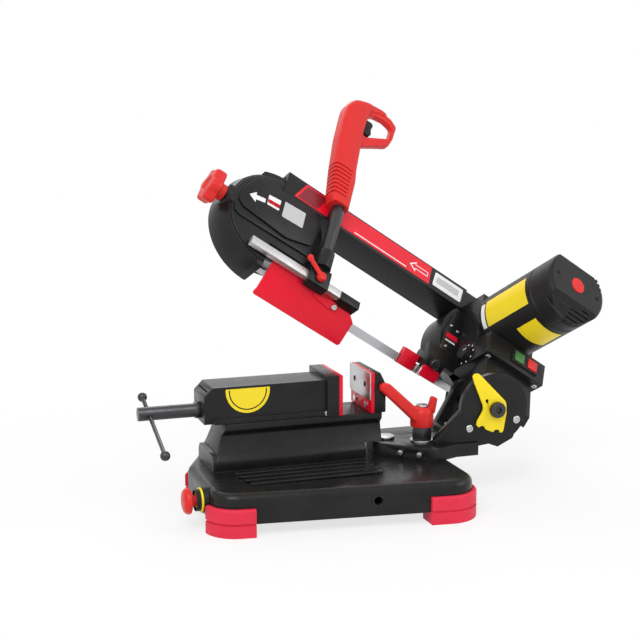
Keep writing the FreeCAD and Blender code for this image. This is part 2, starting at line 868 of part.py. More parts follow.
def vise_bed():
    profile = [(dim.bed_left, bed_seat), (dim.bed_right, bed_seat), (dim.bed_right, bed_top),
               (dim.bed_left + dim.bed_lean, bed_top)]
    block = prism("XZ", profile, bed_side)
    waist = about(dim.vise_y, dim.bed_waist)
    side_height = (bed_seat + dim.bed_flange, bed_top - dim.bed_rail)
    length = (dim.bed_left - 1, dim.bed_right + 1)
    near_recess = box(length, (bed_side[0] - 1, waist[0]), side_height)
    far_recess = box(length, (waist[1], bed_side[1] + 1), side_height)
    pocket = box((dim.bed_left + dim.bed_lean + dim.bed_flange, dim.bed_right - dim.bed_flange),
                 about(dim.vise_y, dim.bed_pocket_width), (bed_seat + dim.bed_flange, bed_top - dim.bed_rail))
    bores = []
    for x_place in bed_bolt_places():
        bores.append(cylinder("Z", (x_place, dim.vise_y), (bed_seat - 1, bed_top),
                              dim.bed_bolt_radius + dim.seat_gap))
    return cut(block, near_recess, far_recess, pocket, *bores)


def bed_bolts():
    bolts = []
    low = bed_seat - dim.base_wall
    head_low = bed_seat + dim.bed_flange
    for x_place in bed_bolt_places():
        shank = cylinder("Z", (x_place, dim.vise_y), (low, head_low + 1), dim.bed_bolt_radius)
        head = cylinder("Z", (x_place, dim.vise_y), (head_low, head_low + dim.bed_bolt_thick),
                        dim.bed_bolt_head)
        bolts.append(fuse(shank, head))
    return group(*bolts)


jaw_side = about(dim.vise_y, dim.jaw_width)
jaw_top = bed_top + dim.jaw_height
fixed_plate_left = dim.jaw_face_x + dim.jaw_steel_thick
fixed_block_left = fixed_plate_left + dim.jaw_plate_thick
fixed_block_right = fixed_block_left + dim.jaw_block_thick
moving_face = dim.jaw_face_x - dim.jaw_gap


def fixed_jaw():
    slope = dim.jaw_block_thick / 2
    profile = [(fixed_block_left, bed_top), (fixed_block_right, bed_top),
               (fixed_block_right, jaw_top - slope * 2), (fixed_block_right - slope, jaw_top),
               (fixed_block_left, jaw_top)]
    return prism("XZ", profile, jaw_side)


def fixed_jaw_plate():
    return box((fixed_plate_left, fixed_block_left), jaw_side, (bed_top, jaw_top))


def fixed_jaw_face():
    return box((dim.jaw_face_x, fixed_plate_left), jaw_side, (jaw_top - dim.jaw_steel_height, jaw_top))


def fixed_jaw_screws():
    screws = []
    for side in (-0.5, 0.5):
        centre = (dim.vise_y + dim.jaw_screw_spacing * side, bed_top + dim.jaw_screw_rise)
        screws.append(cylinder("X", centre, (dim.jaw_face_x, fixed_plate_left), dim.jaw_screw_radius))
    return group(*screws)


def vise_nut():
    block = box((dim.nut_left, dim.nut_left + dim.nut_length), about(dim.vise_y, dim.nut_width),
                (bed_top, screw_at[1] + dim.nut_over))
    bore = cylinder("X", screw_at, (dim.nut_left - 1, dim.nut_left + dim.nut_length + 1),
                    dim.screw_radius + dim.running_gap)
    return cut(block, bore)


def vise_slide():
    low = bed_top + dim.free_gap
    high = low + dim.slide_height
    right = moving_face - dim.jaw_plate_thick
    side = about(dim.vise_y, dim.slide_width)
    profile = [(dim.slide_left, low), (right, low), (right, high), (dim.slide_left + dim.slide_chamfer, high),
               (dim.slide_left, high - dim.slide_chamfer)]
    body = prism("XZ", profile, side)
    head = box((right - dim.slide_head_thick, right), jaw_side, (low, jaw_top))
    flange = box((dim.slide_left + dim.slide_chamfer, right), about(dim.vise_y, dim.slide_flange_width),
                 (low, low + dim.slide_flange_thick))
    hollow = box((dim.slide_left + dim.slide_wall, dim.slide_neck),
                 (side[0] + dim.slide_wall, side[1] - dim.slide_wall),
                 (low - 1, high - dim.slide_wall))
    bore = cylinder("X", screw_at, (dim.slide_left - 1, dim.slide_left + dim.slide_wall + 1),
                    dim.screw_radius + dim.running_gap)
    return cut(fuse(body, head, flange), hollow, bore)


def moving_jaw_plate():
    return box((moving_face - dim.jaw_plate_thick, moving_face), jaw_side, (bed_top + dim.free_gap, jaw_top))


def vise_screw():
    tube_right = dim.slide_left - dim.screw_tube_gap
    tube = cylinder("X", screw_at, (dim.screw_tube_left, tube_right), dim.screw_tube_radius)
    shoulder = cylinder("X", screw_at, (tube_right - 1, dim.slide_left - dim.free_gap),
                        dim.screw_collar_radius)
    spindle = cylinder("X", screw_at, (tube_right - 1, dim.screw_right), dim.screw_radius)
    collar_left = dim.slide_left + dim.slide_wall + dim.free_gap
    collar = cylinder("X", screw_at, (collar_left, collar_left + dim.screw_collar_length),
                      dim.screw_collar_radius)
    bore = tommy_rod(dim.tommy_radius + dim.running_gap)
    return cut(fuse(tube, shoulder, spindle, collar), bore)


def tommy_rod(radius):
    across = dim.tommy_angle.cos()
    down = dim.tommy_angle.sin()
    upper = (dim.tommy_x, screw_at[0] + across * dim.tommy_up, screw_at[1] + down * dim.tommy_up)
    lower = (dim.tommy_x, screw_at[0] - across * dim.tommy_down, screw_at[1] - down * dim.tommy_down)
    return rod(upper, lower, radius)


def tommy_bar():
    across = dim.tommy_angle.cos()
    down = dim.tommy_angle.sin()
    upper = (dim.tommy_x, screw_at[0] + across * dim.tommy_up, screw_at[1] + down * dim.tommy_up)
    lower = (dim.tommy_x, screw_at[0] - across * dim.tommy_down, screw_at[1] - down * dim.tommy_down)
    return fuse(tommy_rod(dim.tommy_radius), ball(upper, dim.tommy_ball), ball(lower, dim.tommy_ball))


def swivel_pin():
    low = base_top - dim.swivel_boss_depth
    pin = cylinder("Z", swivel_at, (low, plate_top + dim.free_gap + 1), dim.swivel_pin_radius)
    head = cylinder("Z", swivel_at,
                    (plate_top + dim.free_gap, plate_top + dim.free_gap + dim.swivel_head_thick),
                    dim.swivel_head_radius)
    return fuse(pin, head)


lever_low = plate_top + dim.free_gap
lever_hub_low = lever_low + dim.lever_washer_thick
lever_top = lever_hub_low + dim.lever_hub_height


def clamp_stud():
    low = base_top - dim.swivel_boss_depth
    stud = cylinder("Z", stud_at, (low, lever_top + 1), dim.stud_radius)
    head_low = lever_top + dim.free_gap
    head = cylinder("Z", stud_at, (head_low, head_low + dim.stud_head_thick), dim.stud_head_radius)
    return fuse(stud, head)


def arc_slot():
    """The curved slot that the clamp stud passes through as the plate turns."""
    from_pin = (dim.stud_x - dim.swivel_x, dim.stud_y - dim.swivel_y)
    radius = (from_pin[0] * from_pin[0] + from_pin[1] * from_pin[1]).root()
    half = dim.stud_radius + dim.stud_slack
    first = math.degrees(math.atan2(from_pin[1].number, from_pin[0].number))
    span = (plate_low - 1, plate_top + 1)
    sector = cylinder("Z", swivel_at, span, radius + half)
    bind(sector, "Angle", dim.swivel_turn)
    sector.Placement.Rotation = FreeCAD.Rotation(FreeCAD.Vector(0, 0, 1), first)
    ring = cut(sector, cylinder("Z", swivel_at, span, radius - half))
    last = math.radians(first + dim.swivel_turn.number)
    end = (dim.swivel_x + radius * math.cos(last), dim.swivel_y + radius * math.sin(last))
    return [ring, cylinder("Z", stud_at, span, half), cylinder("Z", end, span, half)]


def stop_screw_rods(radius, start, end):
    """Two bars square to the plate's near left edge, from start to end outwards of that edge."""
    first, second = dim.outline("plate")[:2]
    run = (second[0] - first[0], second[1] - first[1])
    length = (run[0] * run[0] + run[1] * run[1]).root()
    outward = (run[1] / length, -(run[0] / length))
    level = plate_low + dim.plate_thick / 2
    rods = []
    for share in (0.45, 0.75):
        foot = (first[0] + run[0] * share, first[1] + run[1] * share)
        ends = []
        for reach in (start, end):
            ends.append((foot[0] + outward[0] * reach, foot[1] + outward[1] * reach, level))
        rods.append(rod(ends[0], ends[1], radius))
    return rods


def bracket_bolt_points():
    middle = (dim.bracket_foot_left + dim.bracket_foot_right) / 2
    centre = (cheek_near[1] + cheek_far[0]) / 2
    for side in (-0.5, 0.5):
        yield (middle, centre + dim.bracket_bolt_spacing * side)


def swivel_plate():
    plate = prism("XY", dim.outline("plate"), (plate_low, plate_top))
    holes = arc_slot()
    holes.append(cylinder("Z", swivel_at, (plate_low - 1, plate_top + 1),
                          dim.swivel_pin_radius + dim.running_gap))
    for point in bracket_bolt_points():
        holes.append(cylinder("Z", point, (plate_low - 1, plate_top + 1),
                              dim.bracket_bolt_radius + dim.seat_gap))
    holes.extend(stop_screw_rods(dim.stop_screw_radius / 2 + dim.seat_gap, -dim.stop_screw_depth, 1))
    return cut(plate, *holes)


def hinge_bracket():
    near = fuse(prism("XZ", dim.outline("cheek"), cheek_near),
                cylinder("Y", hinge_at, cheek_near, dim.cheek_near_radius))
    far = fuse(prism("XZ", dim.outline("far_cheek"), cheek_far),
               cylinder("Y", hinge_at, cheek_far, dim.cheek_far_radius))
    foot = box((dim.bracket_foot_left, dim.bracket_foot_right), (cheek_near[0], cheek_far[1]),
               (plate_top, plate_top + dim.bracket_foot_thick))
    holes = [cylinder("Y", hinge_at, (cheek_near[0] - 1, cheek_far[1] + 1),
                      dim.hinge_pin_radius + dim.seat_gap)]
    for point in bracket_bolt_points():
        holes.append(cylinder("Z", point, (plate_top - 1, plate_top + dim.bracket_foot_thick + 1),
                              dim.bracket_bolt_radius + dim.seat_gap))
    return cut(fuse(near, far, foot), *holes)


def swivel_screws():
    """The bolts of the hinge bracket and the two stop screws in the plate's edge."""
    screws = []
    head_low = plate_top + dim.bracket_foot_thick
    for point in bracket_bolt_points():
        shank = cylinder("Z", point, (plate_low + 1, head_low + 1), dim.bracket_bolt_radius)
        head = cylinder("Z", point, (head_low, head_low + dim.bracket_bolt_thick), dim.bracket_bolt_head)
        screws.append(fuse(shank, head))
    heads = stop_screw_rods(dim.stop_screw_radius, 0, dim.stop_screw_out)
    shanks = stop_screw_rods(dim.stop_screw_radius / 2, 1 - dim.stop_screw_depth, 1)
    for head, shank in zip(heads, shanks):
        screws.append(fuse(head, shank))
    return group(*screws)


lever_back = cheek_near[0] - dim.spring_lever_gap
lever_front = lever_back - dim.spring_lever_thick
pin_front = lever_front - dim.free_gap


def hinge_pin():
    head_front = pin_front - dim.hinge_cap_thick
    pin = cylinder("Y", hinge_at, (pin_front - 1, cheek_far[1] + dim.hinge_pin_over), dim.hinge_pin_radius)
    head = cylinder("Y", hinge_at, (head_front, pin_front), dim.hinge_cap_radius)
    socket = cylinder("Y", hinge_at, (head_front - 1, pin_front - dim.hinge_cap_thick / 3),
                      dim.hinge_cap_socket)
    return cut(fuse(pin, head), socket)


def return_spring():
    low = cheek_near[1] + dim.free_gap
    sleeve = cylinder("Y", hinge_at, (low, low + dim.spring_sleeve_length), dim.spring_sleeve_radius)
    bore = cylinder("Y", hinge_at, (low - 1, low + dim.spring_sleeve_length + 1),
                    dim.hinge_pin_radius + dim.free_gap)
    return cut(sleeve, bore)


def spring_lever():
    plate = prism("XZ", dim.outline("spring_lever"), (lever_front, lever_back))
    boss = cylinder("Y", hinge_at, (lever_back - 1, cheek_near[0] - dim.free_gap),
                    dim.hinge_pin_radius * 1.6)
    bore = cylinder("Y", hinge_at, (lever_front - 1, cheek_near[0] + 1),
                    dim.hinge_pin_radius + dim.running_gap)
    return cut(fuse(plate, boss), bore)


def swivel_lever():
    washer = cylinder("Z", stud_at, (lever_low, lever_hub_low + 1), dim.lever_washer_radius)
    hub = cylinder("Z", stud_at, (lever_hub_low, lever_top), dim.lever_hub_radius)
    arm = prism("XZ", dim.outline("lever_arm"), about(dim.stud_y - dim.lever_arm_shift, dim.lever_arm_width))
    bore = cylinder("Z", stud_at, (lever_low - 1, lever_top + 1), dim.stud_radius + dim.running_gap)
    head_room = cylinder("Z", stud_at, (lever_top, lever_top + dim.lever_hub_height),
                         dim.stud_head_radius + dim.free_gap)
    return cut(fuse(washer, hub, arm), bore, head_room)


def bow_solid(span, tube_front, inset):
    idler = cylinder("Z", housing_at, span, idler_housing - inset)
    drive = cylinder("Z", drive_at, span, drive_housing - inset)
    tube = box((dim.idler_u, dim.drive_u), (tube_low + inset, tube_high - inset),
               (span[0], tube_front))
    return fuse(idler, drive, tube)


def throat_cuts():
    below = wheel_v - idler_housing - 1
    depth = (dim.bow_back - dim.cover_thick - 1, dim.bow_front + 1)
    idler_corner = box((dim.throat_idler_left, dim.throat_idler_right), (below, dim.throat_idler_high),
                       depth)
    drive_corner = box((dim.drive_u - drive_housing - 1, dim.throat_drive_right),
                       (below, dim.throat_drive_high), depth)
    return [idler_corner, drive_corner]


def bow_casting():
    outer = bow_solid((dim.bow_back, dim.bow_front), dim.tube_front, 0)
    inner = bow_solid((dim.bow_back - 1, inner_front), dim.tube_front - dim.bow_wall, dim.bow_wall)
    neck = cylinder("X", (wheel_v, dim.tension_w),
                    (rim_left - dim.tension_neck_out, rim_left + dim.bow_wall),
                    dim.tension_neck_radius)
    screw_hole = cylinder("X", (wheel_v, dim.tension_w), (rim_left - dim.tension_neck_out - 1, dim.idler_u),
                          dim.tension_screw_radius + dim.running_gap)
    shaft_hole = cylinder("Z", drive_at, (0, dim.bow_front + 1), dim.drive_shaft_radius + dim.running_gap)
    case_room = box((dim.case_left - dim.seat_gap, dim.drive_u + 1), (tube_low - 1, tube_high + 1),
                    (dim.bow_front, dim.tube_front + 1))
    return cut(fuse(outer, neck), inner, screw_hole, shaft_hole, case_room, *throat_cuts())


def wheel_cover():
    span = (dim.bow_back - dim.cover_thick, dim.bow_back)
    plate = bow_solid(span, dim.bow_back, 0)
    return cut(plate, *throat_cuts())


def blade():
    """One closed band: half turns on the wheels, a straight return and a twisted cutting strand."""
    inside = dim.wheel_radius.number + dim.free_gap.number
    outside = inside + dim.blade_thick.number
    half = dim.blade_width.number / 2
    middle = wheel_v.number
    idler = dim.idler_u.number
    drive = dim.drive_u.number
    up_axis = FreeCAD.Vector(0, 0, 1)

    def half_turn(centre, start):
        origin = FreeCAD.Vector(centre, middle, -half)
        bent = Part.makeCylinder(outside, half * 2, origin, up_axis, 180)
        bent = bent.cut(Part.makeCylinder(inside, half * 2, origin, up_axis, 360))
        bent.rotate(origin, up_axis, start)
        return bent

    def section(place_u, angle):
        wide = FreeCAD.Vector(0, math.sin(angle), math.cos(angle)) * half
        thin = FreeCAD.Vector(0, math.cos(angle), -math.sin(angle)) * ((outside - inside) / 2)
        centre = FreeCAD.Vector(place_u, 0, 0) + FreeCAD.Vector(0, middle - (outside + inside) / 2, 0)
        corners = [centre + wide + thin, centre + wide - thin, centre - wide - thin, centre - wide + thin]
        return Part.makePolygon(corners + corners[:1])

    steps = 4
    lead = dim.blade_lead.number
    start = idler + lead
    stations = [(idler, 0)]
    for index in range(steps + 1):
        share = index / steps
        stations.append((start + (dim.blade_twist_idler.number - start) * share, lean * share))
    start = dim.blade_twist_drive.number
    for index in range(steps + 1):
        share = index / steps
        stations.append((start + (drive - lead - start) * share, lean * (1 - share)))
    stations.append((drive, 0))
    strand = Part.makeLoft([section(*station) for station in stations], True, True)
    returning = Part.makeBox(drive - idler, outside - inside, half * 2,
                             FreeCAD.Vector(idler, middle + inside, -half))
    band = half_turn(idler, 90).fuse([half_turn(drive, -90), returning, strand])
    item = doc.addObject("Part::Feature", "Band")
    item.Shape = band
    return item


def band_wheel(centre, bore):
    half = dim.wheel_width / 2
    rim = cylinder("Z", centre, (-half, half), dim.wheel_radius)
    flange = cylinder("Z", centre, (-half, dim.wheel_flange_thick - half),
                      dim.wheel_radius + dim.wheel_flange)
    dishes = []
    web = dim.wheel_web / 2
    for span in ((-half - 1, -web), (web, half + 1)):
        dish = cylinder("Z", centre, span, dim.wheel_radius - dim.wheel_rim)
        dishes.append(cut(dish, cylinder("Z", centre, span, dim.wheel_hub_radius)))
    blank = cut(fuse(rim, flange), *dishes)
    if bore is None:
        return blank
    return cut(blank, cylinder("Z", centre, (-half - 1, half + 1), bore))


def idler_carriage():
    back = dim.wheel_width / 2 + dim.axle_over
    plate = box(about(dim.idler_u, dim.carriage_length), about(wheel_v, dim.carriage_width),
                (back, inner_front - dim.free_gap))
    axle = cylinder("Z", idler_at, (-dim.wheel_width / 2 - dim.axle_over, back + 1), dim.axle_radius)
    left = dim.idler_u - dim.carriage_length / 2
    bore = cylinder("X", (wheel_v, dim.tension_w),
                    (left - 1, left + dim.tension_screw_reach + dim.tension_travel),
                    dim.tension_screw_radius + dim.running_gap)
    return cut(fuse(plate, axle), bore)


def tension_knob():
    right = rim_left - dim.tension_neck_out - dim.free_gap
    head_right = right - dim.tension_knob_neck
    span = (head_right - dim.tension_knob_length, head_right)
    disc = cylinder("X", (wheel_v, dim.tension_w), span, dim.tension_knob_radius)
    lobes = []
    for index in range(6):
        turn = 2 * math.pi * index / 6
        centre = (wheel_v + dim.tension_knob_radius * math.cos(turn) * 0.85,
                  dim.tension_w + dim.tension_knob_radius * math.sin(turn) * 0.85)
        lobes.append(cylinder("X", centre, span, dim.tension_knob_lobe))
    reach = dim.idler_u - dim.carriage_length / 2 + dim.tension_screw_reach
    screw = cylinder("X", (wheel_v, dim.tension_w), (right - 1, reach), dim.tension_screw_radius)
    neck = cylinder("X", (wheel_v, dim.tension_w), (head_right - 1, right), dim.tension_knob_neck_radius)
    return fuse(disc, neck, screw, *lobes)


gear_low = dim.bow_front + dim.case_wall + 2
mid_gear_low = gear_low + dim.gear_width + 4


def drive_wheel():
    shaft = cylinder("Z", drive_at, (-dim.wheel_width / 2, gear_low + dim.gear_width),
                     dim.drive_shaft_radius)
    return fuse(band_wheel(drive_at, None), shaft)


def drive_gear():
    gear = cylinder("Z", drive_at, (gear_low, gear_low + dim.gear_width),
                    dim.drive_gear_radius - dim.mesh_gap)
    bore = cylinder("Z", drive_at, (gear_low - 1, gear_low + dim.gear_width + 1),
                    dim.drive_shaft_radius + dim.seat_gap)
    return cut(gear, bore)


def mid_gear():
    centre = mid_at
    pinion = cylinder("Z", centre, (gear_low, mid_gear_low + 1), dim.mid_pinion_radius - dim.mesh_gap)
    gear = cylinder("Z", centre, (mid_gear_low, mid_gear_low + dim.mid_gear_width),
                    dim.mid_gear_radius - dim.mesh_gap)
    spindle = cylinder("Z", centre,
                       (dim.bow_front + dim.free_gap, dim.case_front - dim.case_wall / 2 - dim.free_gap),
                       dim.mid_spindle_radius)
    return fuse(pinion, gear, spindle)


def motor_rotor():
    start = dim.case_front + dim.stator_start
    core = cylinder("Z", motor_at, (start, start + dim.stator_length), dim.rotor_radius)
    shaft_low = mid_gear_low + dim.mid_gear_width + 2
    shaft = cylinder("Z", motor_at, (shaft_low, dim.case_front + dim.motor_length - dim.free_gap),
                     dim.rotor_shaft_radius)
    pinion = cylinder("Z", motor_at, (mid_gear_low, shaft_low + 1), dim.motor_pinion_radius - dim.mesh_gap)
    return fuse(core, shaft, pinion)


def lug_profile():
    """Side view of the hinge lug's web, in the upright frame (y, p), up into the case's underside."""
    low = cheek_near[1] + dim.free_gap * 2 + dim.spring_sleeve_length - dim.strand_y
    high = cheek_far[0] - dim.free_gap - dim.strand_y
    top = case_low + dim.lug_bite
    cosine = dim.lean_angle.cos()
    sine = dim.lean_angle.sin()
    front_y = top * cosine - (dim.case_box_front - dim.case_wall) * sine
    points = [(low, dim.strand_drop), (high, dim.strand_drop), (high, (top - high * cosine) / sine),
              (front_y, (top - front_y * cosine) / sine), (low, dim.strand_drop + dim.lug_radius)]
    return (low, high), points


def upright_in_leaning(item):
    """Carries a piece drawn in the upright frame over into the leaning frame."""
    item = group(item)
    item.Placement = LEANING.inverse().multiply(UPRIGHT)
    return item


def leaning_in_upright(item):
    """Carries a piece drawn in the leaning frame over into the upright frame."""
    item = group(item)
    item.Placement = UPRIGHT.inverse().multiply(LEANING)
    return item


def gear_case():
    side = (dim.case_left, dim.case_right)
    block = box(side, (case_low, case_high), (dim.bow_front, dim.case_front))
    front = box(side, (case_low, case_box_high), (dim.case_front - 1, dim.case_box_front))
    wall = dim.case_wall
    inner_side = (dim.case_left + wall, dim.case_right - wall)
    gear_room = box(inner_side, (case_shelf + wall, case_high - wall),
                    (dim.bow_front + wall, dim.case_front - wall))
    switch_room = box(inner_side, (case_low + wall, case_shelf + wall / 3),
                      (dim.bow_front + wall, dim.case_box_front + 1))
    front_room = box(inner_side, (case_low + wall, case_box_high - wall),
                     (dim.case_front + wall, dim.case_box_front + 1))
    span, points = lug_profile()
    web = prism("YZ", points, (dim.lug_left, dim.lug_right))
    eye = cylinder("Y", (0, dim.strand_drop), span, dim.lug_radius)
    lug = upright_in_leaning(fuse(web, eye))
    pin_hole = upright_in_leaning(cylinder("Y", (0, dim.strand_drop), (span[0] - 1, span[1] + 1),
                                           dim.hinge_pin_radius + dim.running_gap))
    shaft_hole = cylinder("Z", drive_at, (dim.bow_front - 1, gear_low),
                          dim.drive_shaft_radius + dim.running_gap)
    motor_hole = cylinder("Z", motor_at, (dim.case_front - wall - 1, dim.case_front + 1),
                          dim.rotor_shaft_radius + dim.running_gap)
    spindle_hole = cylinder("Z", mid_at, (dim.bow_front, dim.case_front - wall / 2),
                            dim.mid_spindle_radius + dim.running_gap)
    dial_hole = cylinder("X", dial_at, (dim.case_left - 1, dim.case_left + wall + 1),
                         dim.dial_spindle + dim.running_gap)
    rooms = [gear_room, switch_room, front_room]
    holes = [pin_hole, shaft_hole, motor_hole, spindle_hole, dial_hole]
    return cut(fuse(cut(fuse(block, front), *rooms), lug), *holes)


def switch_panel():
    span = (dim.case_box_front, dim.case_box_front + dim.panel_thick)
    plate = box((dim.case_left, dim.case_right), (case_low, case_box_high), span)
    holes = []
    for place_u in (dim.start_u, dim.stop_u):
        holes.append(cylinder("Z", (place_u, button_v), (span[0] - 1, span[1] + 1),
                              dim.button_radius + dim.running_gap))
    return cut(plate, *holes)


def push_button(place_u):
    face = dim.case_box_front + dim.panel_thick
    cap = cylinder("Z", (place_u, button_v), (dim.case_box_front - 1, face + button_out), dim.button_radius)
    high = dim.case_box_front - dim.free_gap
    flange = cylinder("Z", (place_u, button_v), (high - dim.button_flange_thick, high), dim.button_flange)
    return fuse(cap, flange)


def speed_dial():
    right = dim.case_left - dim.free_gap
    body = cylinder("X", dial_at, (right - dim.dial_length, right), dim.dial_radius)
    spindle = cylinder("X", dial_at, (right - 1, dim.case_left + dim.case_wall),
                       dim.dial_spindle)
    return fuse(body, spindle)


motor_end = dim.case_front + dim.motor_length


def motor_housing():
    shell = cylinder("Z", motor_at, (dim.case_front, motor_end), dim.motor_radius)
    hollow = cylinder("Z", motor_at, (dim.case_front + dim.motor_wall, motor_end + 1),
                      dim.motor_radius - dim.motor_wall)
    bore = cylinder("Z", motor_at, (dim.case_front - 1, motor_end), dim.rotor_shaft_radius + dim.running_gap)
    return cut(shell, hollow, bore)


def motor_stator():
    start = dim.case_front + dim.stator_start
    span = (start, start + dim.stator_length)
    ring = cylinder("Z", motor_at, span, dim.motor_radius - dim.motor_wall - dim.seat_gap)
    return cut(ring, cylinder("Z", motor_at, (span[0] - 1, span[1] + 1), dim.stator_inner))


def motor_end_cap():
    cap = cylinder("Z", motor_at, (motor_end, motor_end + dim.motor_cap_length), dim.motor_radius)
    seat = cylinder("Z", motor_at, (motor_end + dim.motor_cap_length - dim.motor_badge_thick / 2,
                                    motor_end + dim.motor_cap_length + 1), dim.motor_badge_radius + dim.seat_gap)
    return cut(cap, seat)


def motor_badge():
    low = motor_end + dim.motor_cap_length - dim.motor_badge_thick / 2
    return cylinder("Z", motor_at, (low, low + dim.motor_badge_thick), dim.motor_badge_radius)


handle_at = (dim.handle_u, handle_w)
trigger_span = (handle_block_high + dim.trigger_low, handle_block_high + dim.trigger_high)


def handle_bracket():
    block = box(about(dim.handle_u, dim.handle_block_width), (handle_block_low, handle_block_high),
                (dim.tube_front, handle_w))
    seat = cylinder("Y", handle_at, (handle_block_low - 1, handle_block_high + 1),
                    dim.handle_tube_radius + dim.seat_gap)
    return cut(block, seat)


def handle_tube():
    span = (dim.handle_tube_low, handle_tube_high)
    tube = cylinder("Y", handle_at, span, dim.handle_tube_radius)
    bore = cylinder("Y", handle_at, (span[0] - 1, span[1] + 1),
                    dim.handle_tube_radius - dim.handle_tube_wall)
    return cut(tube, bore)


def above_bracket(name):
    """An outline of the grip, whose heights count from the top of the handle's bracket."""
    return [(place_u, handle_block_high + rise) for place_u, rise in dim.outline(name)]


def grip_half(span):
    body = prism("XY", above_bracket("grip"), span)
    loop = prism("XY", above_bracket("grip_loop"), (span[0] - 1, span[1] + 1))
    low = above_bracket("grip")[0][1]
    socket = cylinder("Y", handle_at, (low - 1, handle_tube_high + dim.free_gap),
                      dim.handle_tube_radius + dim.seat_gap)
    inner_wall = dim.outline("grip_loop")[0][0]
    slot = box((dim.trigger_left - dim.trigger_travel - dim.free_gap, inner_wall + dim.trigger_out + dim.free_gap),
               (trigger_span[0] - dim.free_gap, trigger_span[1] + dim.free_gap),
               about(handle_w, dim.trigger_width + dim.free_gap * 2))
    return cut(body, loop, socket, slot)


def trigger():
    inner_wall = dim.outline("grip_loop")[0][0]
    return box((dim.trigger_left, inner_wall + dim.trigger_out), trigger_span,
               about(handle_w, dim.trigger_width))


def guide_clamp():
    foot = box((dim.clamp_left, dim.clamp_right), (dim.clamp_low, dim.clamp_step + 1),
               (dim.clamp_back, dim.clamp_front))
    head = cylinder("Y", handle_at, (dim.clamp_step, dim.clamp_high),
                    dim.handle_tube_radius + dim.clamp_head_wall)
    channel = box((dim.clamp_left - 1, dim.clamp_right + 1),
                  (dim.bar_low - dim.running_gap, dim.bar_high + dim.running_gap),
                  (dim.bar_back - dim.running_gap, dim.bar_front + dim.running_gap))
    socket = cylinder("Y", handle_at, (dim.handle_tube_low - dim.seat_gap, dim.clamp_high + 1),
                      dim.handle_tube_radius + dim.seat_gap)
    screw_hole = cylinder("Z", (dim.lock_u, dim.lock_v), (dim.bar_front + 1, dim.clamp_front + 1),
                          dim.roller_pin + dim.running_gap)
    return cut(fuse(foot, head), channel, socket, screw_hole)


def guide_bar():
    return box((dim.bar_left, dim.bar_right), (dim.bar_low, dim.bar_high), (dim.bar_back, dim.bar_front))


def guide_lock_lever():
    low = dim.clamp_front + dim.free_gap
    centre = (dim.lock_u, dim.lock_v)
    hub = cylinder("Z", centre, (low, low + dim.lock_hub_height), dim.lock_hub_radius)
    screw = cylinder("Z", centre, (dim.bar_front + 1 + dim.free_gap, low + 1), dim.roller_pin)
    level = low + dim.lock_hub_height / 2
    tip = (dim.lock_u - dim.lock_arm_length * 0.8, dim.lock_v + dim.lock_arm_length * 0.6, level)
    arm = rod((dim.lock_u, dim.lock_v, level), tip, dim.lock_arm_radius)
    return fuse(hub, screw, arm, ball(tip, dim.lock_arm_radius * 1.5))


def roller_places(place_u):
    reach = dim.blade_thick / 2 + dim.roller_gap + dim.roller_radius
    return [(place_u, -reach), (place_u, reach)]


def guide_rollers(place_u):
    rollers = []
    for centre in roller_places(place_u):
        span = about(0, dim.roller_length)
        ring = cylinder("Z", centre, span, dim.roller_radius)
        bore = cylinder("Z", centre, (span[0] - 1, span[1] + 1), dim.roller_pin + dim.seat_gap)
        rollers.append(cut(ring, bore))
    return group(*rollers)


def guide_block(span_u, side, roller_u):
    """A block over the blade's back, with a slot for the blade and a pin for each roller."""
    block = box(span_u, side, (dim.guide_low, dim.guide_high))
    slot = box((span_u[0] - 1, span_u[1] + 1), about(0, dim.guide_slot),
               (dim.guide_low - 1, dim.guide_low + dim.guide_slot))
    pins = []
    for centre in roller_places(roller_u):
        pins.append(cylinder("Z", centre, (-dim.roller_length / 2, dim.guide_low + 1), dim.roller_pin))
    return fuse(cut(block, slot), *pins)


def bar_wing(grow):
    """The arm that joins the sliding bar to the guide block, drawn in the leaning frame."""
    arm = box((dim.bar_right - grow, dim.guide_right + grow), (dim.bar_low - grow, dim.bar_high + grow),
              (dim.bar_back - dim.guide_wing - grow, dim.bar_front + grow))
    return leaning_in_upright(arm)


def front_guide_block():
    roller_u = (dim.guide_left + dim.guide_right) / 2
    side = (-dim.guide_half_width, dim.guide_half_width)
    return fuse(guide_block((dim.guide_left, dim.guide_right), side, roller_u), bar_wing(0))


def blade_guard():
    plate = prism("XZ", dim.outline("guard"), (dim.guard_front, dim.guard_front + dim.guard_thick))
    return cut(plate, bar_wing(dim.seat_gap))


def rear_guide_holder():
    side = (-dim.rear_reach, dim.rear_half_width)
    plate = box((dim.rear_left, dim.case_left), (dim.holder_low, dim.holder_high),
                (dim.bow_front, dim.bow_front + dim.holder_thick))
    return fuse(guide_block((dim.rear_left, dim.rear_right), side, dim.rear_roller_u),
                leaning_in_upright(plate))


def rear_guide_guard():
    half = dim.rear_guard_half
    block = box((dim.rear_guard_left, dim.rear_guard_right), (-half, half),
                (dim.rear_guard_low, dim.rear_guard_high))
    slot = box((dim.rear_guard_left - 1, dim.rear_guard_right + 1), about(0, dim.guide_slot),
               (dim.rear_guard_low - 1, dim.guide_low + dim.guide_slot))
    return cut(block, slot)


def rear_guide_knob():
    middle = (dim.guide_low + dim.guide_high) / 2
    return cylinder("Y", (dim.rear_roller_u, middle),
                    (-dim.rear_reach - dim.rear_knob_length, -dim.rear_reach), dim.rear_knob_radius)


# Base
sub("base_casting", base_casting())
sub("base_feet", base_feet())
sub("estop_ring", estop_ring())
sub("estop_button", estop_button())
sub("estop_contact_block", estop_contact_block())
sub("cord_gland", cord_gland())

